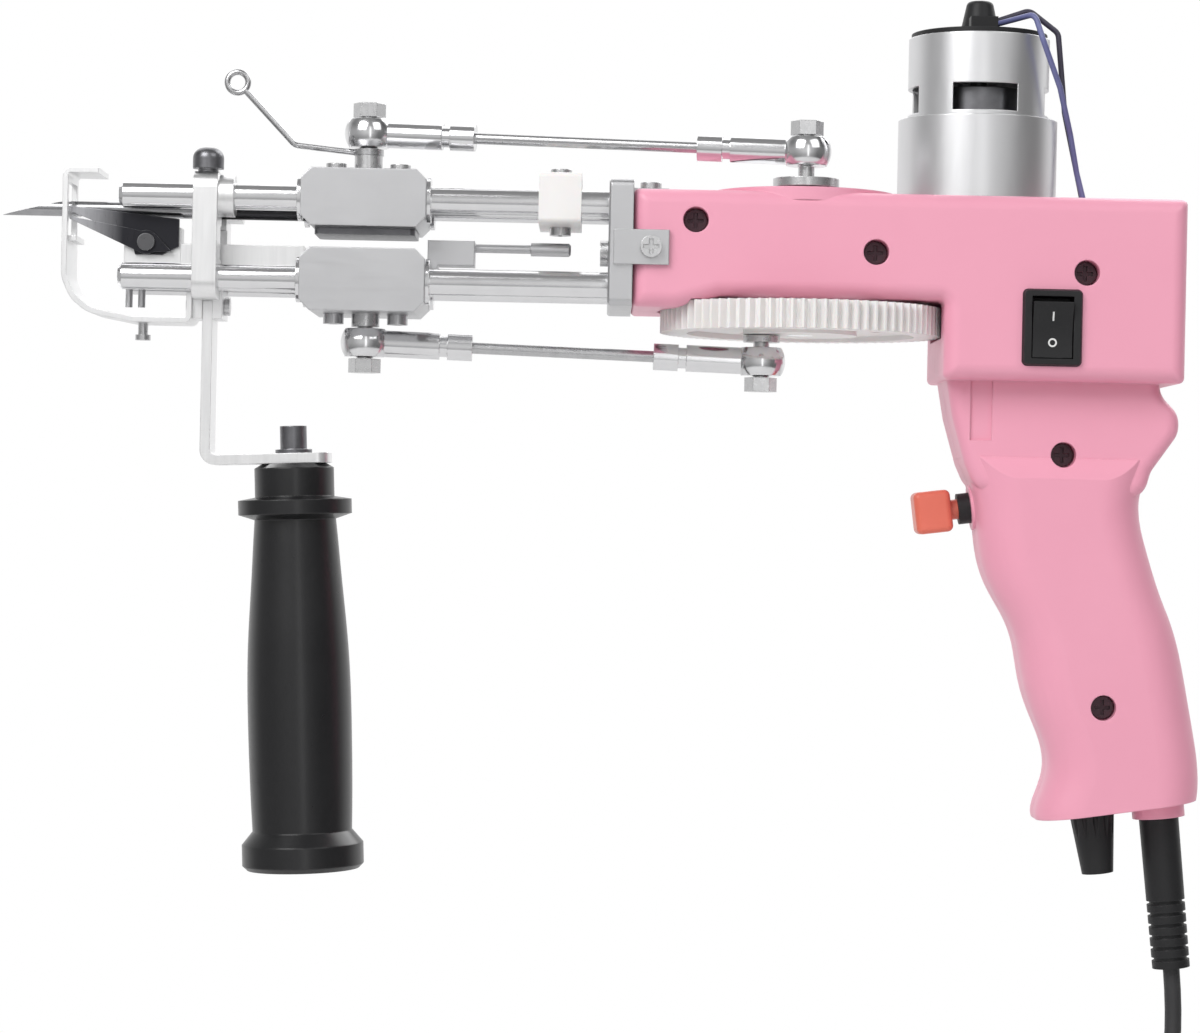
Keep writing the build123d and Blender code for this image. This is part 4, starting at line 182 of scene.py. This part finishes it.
finishes = {
    # Satin moulded plastic with a very fine grain, paler where its edges are rubbed
    "pink_shell": Finish(
        dark=(0.795, 0.33, 0.445), light=(0.83, 0.36, 0.475), clouds=Noise(28),
        roughness=(0.3, 0.44), gloss=Noise(160, 4), edge_radius=0.0006, worn=(0.88, 0.44, 0.545),
        relief=Relief(Noise(2600, 2), 0.00002, 0.35), plain={"IOR": 1.48},
        pieces=("housing_left", "housing_right")),
    # Black moulded plastic with pebbled grain and greyer edges
    "black_plastic": Finish(
        dark=(0.01, 0.01, 0.011), light=(0.018, 0.018, 0.019), clouds=Noise(60),
        roughness=(0.38, 0.56), gloss=Noise(500), edge_radius=0.0004, worn=(0.05, 0.05, 0.052),
        relief=Relief(Pebbles(1500), 0.00003, 0.3), plain={"Specular IOR Level": 0.3},
        pieces=("motor_end_cap", "rocker_frame", "rocker", "trigger_switch", "strain_relief",
                "speed_knob", "plug_body", "cord_tie")),
    # Black soft grip, satin, with a very fine grain
    "handle_rubber": Finish(
        dark=(0.005, 0.005, 0.006), light=(0.01, 0.01, 0.011), clouds=Noise(50),
        roughness=(0.25, 0.34), gloss=Noise(400), edge_radius=0.0006, worn=(0.03, 0.03, 0.031),
        relief=Relief(Pebbles(2200), 0.00001, 0.3),
        pieces=("side_handle",)),
    # Satin orange red plastic
    "orange_plastic": Finish(
        dark=(0.69, 0.135, 0.085), light=(0.75, 0.17, 0.115), clouds=Noise(90),
        roughness=(0.28, 0.42), gloss=Noise(300), edge_radius=0.0005, worn=(0.8, 0.28, 0.21),
        pieces=("trigger_button",)),
    # Tumbled aluminium with faint tool marks and brighter edges
    "machined_aluminium": Finish(
        dark=(0.5, 0.5, 0.51), light=(0.56, 0.56, 0.57), clouds=Noise(90),
        roughness=(0.3, 0.48), gloss=tool_marks, metallic=1.0,
        edge_radius=0.0005, worn=(0.78, 0.78, 0.79), relief=Relief(tool_marks, 0.00003, 0.4),
        pieces=("upper_slider", "lower_slider", "end_block", "bearing_bracket", "trip_rod")),
    # Ground and polished steel
    "polished_steel": Finish(
        dark=(0.67, 0.67, 0.68), light=(0.75, 0.75, 0.76), clouds=Noise(200),
        roughness=(0.1, 0.24), gloss=Noise(1400, 4, (0.08, 1, 1)), metallic=1.0,
        edge_radius=0.0003, worn=(0.88, 0.88, 0.89),
        pieces=("upper_guide_rods", "lower_guide_rods", "upper_rod_ends", "lower_rod_ends",
                "crankshaft", "crank_disc", "pinion", "plug_pins", "upper_bushings",
                "lower_bushings")),
    # Nickel plated screws and studs
    "nickel_steel": Finish(
        dark=(0.5, 0.5, 0.51), light=(0.62, 0.62, 0.62), clouds=Noise(400),
        roughness=(0.2, 0.38), gloss=Noise(900), metallic=1.0,
        edge_radius=0.0003, worn=(0.78, 0.78, 0.78),
        pieces=("frame_screws", "upper_slider_screws", "foot_screws", "upper_front_stud",
                "upper_rear_stud", "lower_front_stud", "lower_rear_stud", "crank_bearings",
                "speed_pot")),
    # Bright drawn wire and rod with fine draw lines along it
    "plated_wire": Finish(
        dark=(0.42, 0.42, 0.43), light=(0.55, 0.55, 0.555), clouds=Noise(400),
        roughness=(0.2, 0.34), gloss=draw_lines, metallic=1.0,
        relief=Relief(draw_lines, 0.00001, 0.3),
        pieces=("upper_link_rod", "lower_link_rod", "yarn_guide")),
    # Nickel plated screws, dark from the height of the scissors' pivot up
    "carriage_screws": Finish(
        dark=(0.42, 0.42, 0.43), light=(0.56, 0.56, 0.57), clouds=Noise(400),
        roughness=(0.22, 0.4), gloss=Noise(900), metallic=1.0,
        edge_radius=0.0003, worn=(0.6, 0.6, 0.6),
        change=Change("Z", 0.099, 0.101, (0.13, 0.13, 0.135)),
        pieces=("scissor_screws",)),
    # Steel sheet brushed along Z
    "brushed_sheet": Finish(
        dark=(0.77, 0.77, 0.775), light=(0.85, 0.85, 0.85), clouds=brush_grain,
        roughness=(0.26, 0.44), gloss=brush_grain, metallic=1.0,
        edge_radius=0.0003, worn=(0.92, 0.92, 0.92), relief=Relief(brush_grain, 0.00002, 0.4),
        pieces=("front_plate", "presser_foot", "handle_strap", "scissor_arm", "motor_mount")),
    # Drawn motor can with bright zinc plating
    "zinc_can": Finish(
        dark=(0.67, 0.67, 0.68), light=(0.73, 0.73, 0.74), clouds=Noise(40),
        roughness=(0.3, 0.4), gloss=Noise(900, 3, (1, 1, 0.1)), metallic=1.0,
        edge_radius=0.0005, worn=(0.85, 0.85, 0.86),
        pieces=("motor_can", "motor_flux_ring")),
    # Off-white machined nylon, slightly translucent
    "white_nylon": Finish(
        dark=(0.79, 0.77, 0.76), light=(0.85, 0.83, 0.82), clouds=Noise(80),
        roughness=(0.34, 0.5), gloss=Noise(600), edge_radius=0.0002, worn=(0.88, 0.87, 0.86),
        relief=Relief(Noise(1500, 2), 0.00001, 0.4),
        plain={"Subsurface Weight": 0.1, "Subsurface Scale": 0.002},
        pieces=("drive_gear", "stop_collar")),
    # Dark screws with a brownish tone, painted shade of the recesses they sit in, and rubbed edges
    "recess_shade_screws": Finish(
        dark=(0.05, 0.03, 0.036), light=(0.085, 0.05, 0.06), clouds=Noise(200, 4),
        roughness=(0.34, 0.52), gloss=Noise(500), metallic=0.8,
        edge_radius=0.0003, worn=(0.2, 0.15, 0.16),
        pieces=("housing_screws",)),
    # Dark plated metal with brighter wear; on the motor rotor the dark colour is painted shade inside the
    # motor's vent
    "dark_nickel_and_vent_shade": Finish(
        dark=(0.14, 0.14, 0.15), light=(0.23, 0.23, 0.24), clouds=Noise(300, 4),
        roughness=(0.26, 0.44), gloss=Noise(700), metallic=1.0,
        edge_radius=0.0004, worn=(0.45, 0.45, 0.46),
        pieces=("clamp_knob", "handle_bolt", "motor_rotor", "needle_clamp")),
    # Polished needle, dark from the front plate back
    "needle_steel": Finish(
        dark=(0.3, 0.3, 0.31), light=(0.42, 0.42, 0.43), clouds=Noise(300),
        roughness=(0.12, 0.28), gloss=Noise(1200, 4, (0.08, 1, 1)), metallic=1.0,
        edge_radius=0.0001, worn=(0.6, 0.6, 0.61),
        change=Change("X", -0.2635, -0.2615, (0.04, 0.04, 0.043)),
        pieces=("needle",)),
    # Scissor steel, bright at the tips and dark towards the pivot
    "blade_steel": Finish(
        dark=(0.42, 0.42, 0.44), light=(0.56, 0.56, 0.58), clouds=blade_grain,
        roughness=(0.2, 0.42), gloss=blade_grain, metallic=1.0,
        edge_radius=0.0002, worn=(0.5, 0.5, 0.51), relief=Relief(blade_grain, 0.00001, 0.4),
        change=Change("X", -0.301, -0.287, (0.035, 0.035, 0.04)),
        pieces=("scissor_fixed_blade", "scissor_moving_blade")),
    # Wire jackets, one blue violet and one black, told apart by their side of the motor
    "wire_sheath": Finish(
        dark=(0.12, 0.13, 0.29), light=(0.16, 0.17, 0.35), clouds=Noise(300),
        roughness=(0.34, 0.5), gloss=Noise(500), relief=Relief(Noise(1800), 0.00001, 0.4),
        change=Change("Y", -0.0002, 0.0002, (0.04, 0.035, 0.06)),
        pieces=("motor_wires",)),
}

# Matt black rubber jacket with faint draw lines
cord_jacket = Finish(
    dark=(0.015, 0.015, 0.016), light=(0.032, 0.031, 0.033), clouds=Noise(90, 4),
    roughness=(0.45, 0.65), gloss=Noise(300, 4), relief=Relief(Noise(1800), 0.00003, 0.5))

# Off-white printed marks
mark_paint = Finish(
    dark=(0.6, 0.6, 0.59), light=(0.76, 0.76, 0.75), clouds=Noise(3000),
    roughness=(0.42, 0.6), gloss=Noise(2000))


def feed(node, inputs):
    """A node with its inputs filled, each with a plain value or another node's output."""
    for name, value in inputs.items():
        if isinstance(value, bpy.types.NodeSocket):
            node.id_data.links.new(value, node.inputs[name])
        else:
            node.inputs[name].default_value = value
    return node


def combine(tree, operation, *values):
    """Outputs joined by a math node."""
    node = tree.nodes.new("ShaderNodeMath")
    node.operation = operation
    return feed(node, dict(enumerate(values))).outputs["Value"]


def spread(tree, value, span, low=0.0, high=1.0):
    """A value moved from a span to the span from low to high, and kept within it."""
    node = tree.nodes.new("ShaderNodeMapRange")
    inputs = {"Value": value, "From Min": span[0], "From Max": span[1], "To Min": low, "To Max": high}
    return feed(node, inputs).outputs["Result"]


def place_camera():
    """The camera where the photograph was taken from, with the photograph's small roll."""
    data = bpy.data.cameras.new("camera")
    data.lens = camera_lens_mm
    camera = bpy.data.objects.new("camera", data)
    bpy.context.collection.objects.link(camera)
    up = Vector((-math.sin(camera_roll), 0, math.cos(camera_roll)))
    back = Vector((0, -1, 0))
    right = up.cross(back)
    turn = Matrix((right, up, back)).transposed().to_4x4()
    camera.matrix_world = Matrix.Translation(camera_place) @ turn
    bpy.context.scene.camera = camera


def soft_light(name, place, aim, width, height, power):
    """A large soft box that points at a place on the tool."""
    data = bpy.data.lights.new(name, "AREA")
    data.shape = "RECTANGLE"
    data.size = width
    data.size_y = height
    data.energy = power
    light = bpy.data.objects.new(name, data)
    bpy.context.collection.objects.link(light)
    light.location = place
    light.rotation_euler = (Vector(aim) - Vector(place)).to_track_quat("-Z", "Y").to_euler()


def studio_world():
    """White behind the tool, and a room of greys with a bright band at eye height in its reflections."""
    world = bpy.data.worlds.new("studio")
    bpy.context.scene.world = world
    world.use_nodes = True
    tree = world.node_tree
    tree.nodes.clear()
    direction = tree.nodes.new("ShaderNodeTexCoord").outputs["Generated"]
    x, y, z = feed(tree.nodes.new("ShaderNodeSeparateXYZ"), {"Vector": direction}).outputs

    ramp = feed(tree.nodes.new("ShaderNodeValToRGB"), {"Fac": spread(tree, z, (-1, 1))})
    stops = ramp.color_ramp.elements
    stops.remove(stops[1])
    for place, grey in room_greys:
        stop = stops.new(place) if place else stops[0]
        stop.color = (grey, grey, grey, 1)
    left = spread(tree, x, room_left_span, room_left_share, 1)
    right = spread(tree, x, room_right_span, room_strength, room_strength * room_right_share)
    room = feed(tree.nodes.new("ShaderNodeBackground"), {
        "Color": ramp.outputs["Color"],
        "Strength": combine(tree, "MULTIPLY", left, right)})

    rays = tree.nodes.new("ShaderNodeLightPath").outputs
    seen = rays["Is Camera Ray"]
    fading = spread(tree, combine(tree, "ABSOLUTE", z), backdrop_fade_span, 1, backdrop_faded)
    backdrop = feed(tree.nodes.new("ShaderNodeBackground"), {
        "Color": (1, 1, 1, 1),
        "Strength": combine(tree, "MAXIMUM", seen, fading)})
    mirrored = combine(tree, "MAXIMUM", rays["Is Glossy Ray"], rays["Is Transmission Ray"])
    behind = combine(tree, "MULTIPLY", mirrored, spread(tree, y, backdrop_start_span))

    mix = feed(tree.nodes.new("ShaderNodeMixShader"), {
        "Fac": combine(tree, "MAXIMUM", seen, behind),
        1: room.outputs["Background"],
        2: backdrop.outputs["Background"]})
    feed(tree.nodes.new("ShaderNodeOutputWorld"), {"Surface": mix.outputs["Shader"]})


class Paint:
    """A node material in the making, with short names for the nodes that every surface here uses."""

    def __init__(self, name):
        self.material = bpy.data.materials.new(name)
        self.material.use_nodes = True
        self.tree = self.material.node_tree
        self.place = self.node("TexCoord", {}).outputs["Object"]
        self.made = {}

    def node(self, kind, inputs):
        """A new shader node of a kind, with its inputs filled."""
        return feed(self.tree.nodes.new("ShaderNode" + kind), inputs)

    def shade(self, inputs):
        """The shader's own inputs filled."""
        feed(self.tree.nodes["Principled BSDF"], inputs)

    def pattern(self, pattern):
        """The output of noise or pebbles. All uses of the same pattern share one node."""
        if pattern not in self.made:
            if isinstance(pattern, Pebbles):
                node = self.node("TexVoronoi", {"Scale": pattern.scale, "Vector": self.place})
                output = node.outputs["Distance"]
            else:
                place = self.place
                if pattern.stretch:
                    node = self.node("Mapping", {"Scale": pattern.stretch, "Vector": place})
                    place = node.outputs["Vector"]
                node = self.node("TexNoise", {"Scale": pattern.scale, "Detail": pattern.octaves,
                                              "Roughness": noise_roughness, "Vector": place})
                output = node.outputs["Fac"]
            self.made[pattern] = output
        return self.made[pattern]

    def along(self, axis, span):
        """From 0 at one place along X, Y or Z to 1 at the other."""
        split = self.node("SeparateXYZ", {"Vector": self.place})
        return spread(self.tree, split.outputs[axis], span)

    def mixed(self, share, first, second):
        """A colour between two, each a colour or a node's output, by a value from 0 to 1."""
        node = self.tree.nodes.new("ShaderNodeMix")
        node.data_type = "RGBA"
        inputs = {"Factor": share, "A": first, "B": second}
        for name in ("A", "B"):
            if isinstance(inputs[name], tuple):
                inputs[name] = (*inputs[name], 1)
        return feed(node, inputs).outputs["Result"]

    def rounded(self, radius):
        """Edges that catch the light as if they had a small radius."""
        node = self.node("Bevel", {"Radius": radius})
        node.samples = edge_samples
        return node.outputs["Normal"]

    def wear(self, rounded):
        """A patchy mask of worn edges, where the rounded edges turn away from the faces."""
        turn = self.tree.nodes.new("ShaderNodeVectorMath")
        turn.operation = "DOT_PRODUCT"
        feed(turn, {0: rounded, 1: self.node("NewGeometry", {}).outputs["Normal"]})
        turned = spread(self.tree, turn.outputs["Value"], wear_turn_span)
        patches = spread(self.tree, self.pattern(wear_patches), wear_patch_span, wear_least)
        return combine(self.tree, "MULTIPLY", turned, patches)

    def gloss(self, noise, roughness):
        """Roughness within a span, by a noise."""
        return spread(self.tree, self.pattern(noise), (0, 1), *roughness)


def finished(name, finish):
    """The material of a finish."""
    paint = Paint(name)
    colour = paint.mixed(paint.pattern(finish.clouds), finish.dark, finish.light)
    if finish.change:
        axis, start, full, other = finish.change
        colour = paint.mixed(paint.along(axis, (start, full)), colour, other)
    normal = None
    if finish.edge_radius:
        normal = paint.rounded(finish.edge_radius)
        colour = paint.mixed(paint.wear(normal), colour, finish.worn)
    if finish.relief:
        pattern, depth, strength = finish.relief
        inputs = {"Height": paint.pattern(pattern), "Distance": depth, "Strength": strength}
        if normal:
            inputs["Normal"] = normal
        normal = paint.node("Bump", inputs).outputs["Normal"]
    if normal:
        paint.shade({"Normal": normal})
    paint.shade({"Base Color": colour, "Roughness": paint.gloss(finish.gloss, finish.roughness),
                 "Metallic": finish.metallic, **finish.plain})
    return paint.material


def dress_nodes():
    """Each piece of the model in its finish."""
    for name, finish in finishes.items():
        material = finished(name, finish)
        for piece in finish.pieces:
            nodes[piece].data.materials.clear()
            nodes[piece].data.materials.append(material)


def direction_xz(angle):
    """A unit vector in the XZ plane, turned up from +X."""
    return Vector((math.cos(angle), 0, math.sin(angle)))


def coil_places():
    """The cord's middle along the coil: four layers that spiral in and out, then the lead to the plug."""
    join = Vector(cord_route[-1])
    way = (join - Vector(cord_route[-2])).normalized()
    start = join + way * coil_straight
    drift = math.atan(coil_pitch / (2 * math.pi * coil_outer_r))
    start_angle = math.atan2(way.z, way.x) + math.pi / 2 + drift
    centre = start - direction_xz(start_angle) * coil_outer_r
    inner_r = coil_outer_r - coil_pitch * coil_turns_per_layer
    period = coil_turns_per_layer + coil_climb_turns
    last_r = inner_r + coil_pitch * (coil_turns_per_layer - coil_climb_turns)
    end_drift = math.atan(coil_pitch / (2 * math.pi * last_r))
    whole_turns = int(coil_layers * period - coil_climb_turns)
    end_turn = whole_turns + (start_angle + end_drift) / (2 * math.pi)
    steps = round(end_turn * coil_points_per_turn)
    for step in range(steps + 1):
        turn = end_turn * step / steps
        layer = min(int(turn // period), coil_layers - 1)
        along = turn - layer * period
        climb = max(0, along - coil_turns_per_layer)
        wound = min(along, coil_turns_per_layer)
        travel = coil_pitch * (wound + climb - climb ** 2 / coil_climb_turns)
        radius = coil_outer_r - travel if layer % 2 == 0 else inner_r + travel
        share = climb / coil_climb_turns
        rise = coil_pitch * (layer + share ** 2 * (3 - 2 * share))
        place = centre + direction_xz(start_angle - 2 * math.pi * turn) * radius
        yield Vector((place.x, start.y + rise, place.z))
    yield Vector((place.x, start.y + rise, place.z - plug_lead))


def power_cord():
    """The whole cord as one smooth line: the free run, the coil and the lead."""
    points = [Vector(point) for point in cord_route] + list(coil_places())
    data = bpy.data.curves.new("power_cord", "CURVE")
    data.dimensions = "3D"
    data.bevel_depth = cord_radius
    data.bevel_resolution = 5
    data.resolution_u = 4
    spline = data.splines.new("NURBS")
    spline.points.add(len(points) - 1)
    for control, point in zip(spline.points, points):
        control.co = (*point, 1)
    spline.order_u = 3
    spline.use_endpoint_u = True
    cord = bpy.data.objects.new("power_cord", data)
    bpy.context.collection.objects.link(cord)
    data.materials.append(finished("cord_jacket", cord_jacket))
    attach(cord, "frame")
    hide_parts("cord", "cord_coil")


def rocker_marks():
    """The plain on and off marks of such a switch, a bar and a ring, laid onto the rocker's face."""
    rocker = nodes["rocker"].data
    surface = BVHTree.FromPolygons([vertex.co for vertex in rocker.vertices],
                                   [polygon.vertices for polygon in rocker.polygons])
    low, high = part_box("rocker")
    middle = (Vector(low) + Vector(high)) / 2
    form = bmesh.new()

    def on_face(x, z):
        """The back and the front of a mark at one place, just off the rocker's face."""
        hit = surface.ray_cast(Vector((x, low[1] - mark_lift, z)), Vector((0, 1, 0)))[0]
        return [form.verts.new((x, hit.y - lift, z)) for lift in (mark_lift, 2 * mark_lift)]

    def across(first, second):
        """The four corners of a mark's stroke, from one edge of it to the other."""
        (first_back, first_front), (second_back, second_front) = on_face(*first), on_face(*second)
        return first_back, first_front, second_front, second_back

    def walls(sections):
        """The four faces of a stroke between each section and the next."""
        for here, there in zip(sections, sections[1:]):
            for side in range(4):
                form.faces.new((here[side - 1], there[side - 1], there[side], here[side]))

    left, right = middle.x - mark_stroke / 2, middle.x + mark_stroke / 2
    heights = [middle.z + mark_offset + mark_size * (step / mark_bar_steps - 0.5)
               for step in range(mark_bar_steps + 1)]
    bar = [across((left, z), (right, z)) for z in heights]
    walls(bar)
    form.faces.new(bar[0])
    form.faces.new(bar[-1])

    ring = []
    for step in range(mark_ring_steps):
        turn = 2 * math.pi * step / mark_ring_steps
        edges = [(middle.x + radius * math.cos(turn), middle.z - mark_offset + radius * math.sin(turn))
                 for radius in (mark_size / 2 - mark_stroke, mark_size / 2)]
        ring.append(across(*edges))
    walls(ring + ring[:1])

    bmesh.ops.recalc_face_normals(form, faces=form.faces)
    mesh = bpy.data.meshes.new("rocker_marks")
    form.to_mesh(mesh)
    form.free()
    mesh.materials.append(finished("mark_paint", mark_paint))
    marks = bpy.data.objects.new("rocker_marks", mesh)
    bpy.context.collection.objects.link(marks)
    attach(marks, "rocker")


def pale_floor():
    """A plain pale disc under the tool, out of the camera's view."""
    mesh = bpy.data.meshes.new("floor")
    form = bmesh.new()
    bmesh.ops.create_circle(form, cap_ends=True, segments=floor_segments, radius=floor_radius)
    form.to_mesh(mesh)
    form.free()
    floor = bpy.data.objects.new("floor", mesh)
    bpy.context.collection.objects.link(floor)
    floor.location = (*floor_middle, cad_box[0].z - floor_gap)
    paint = Paint("floor")
    paint.shade({"Base Color": (floor_grey, floor_grey, floor_grey, 1),
                 "Roughness": paint.gloss(Noise(20), floor_roughness)})
    mesh.materials.append(paint.material)


place_camera()
studio_world()
for soft_box in soft_boxes:
    soft_light(*soft_box)
bpy.context.scene.view_settings.view_transform = "Standard"
dress_nodes()
power_cord()
rocker_marks()
pale_floor()
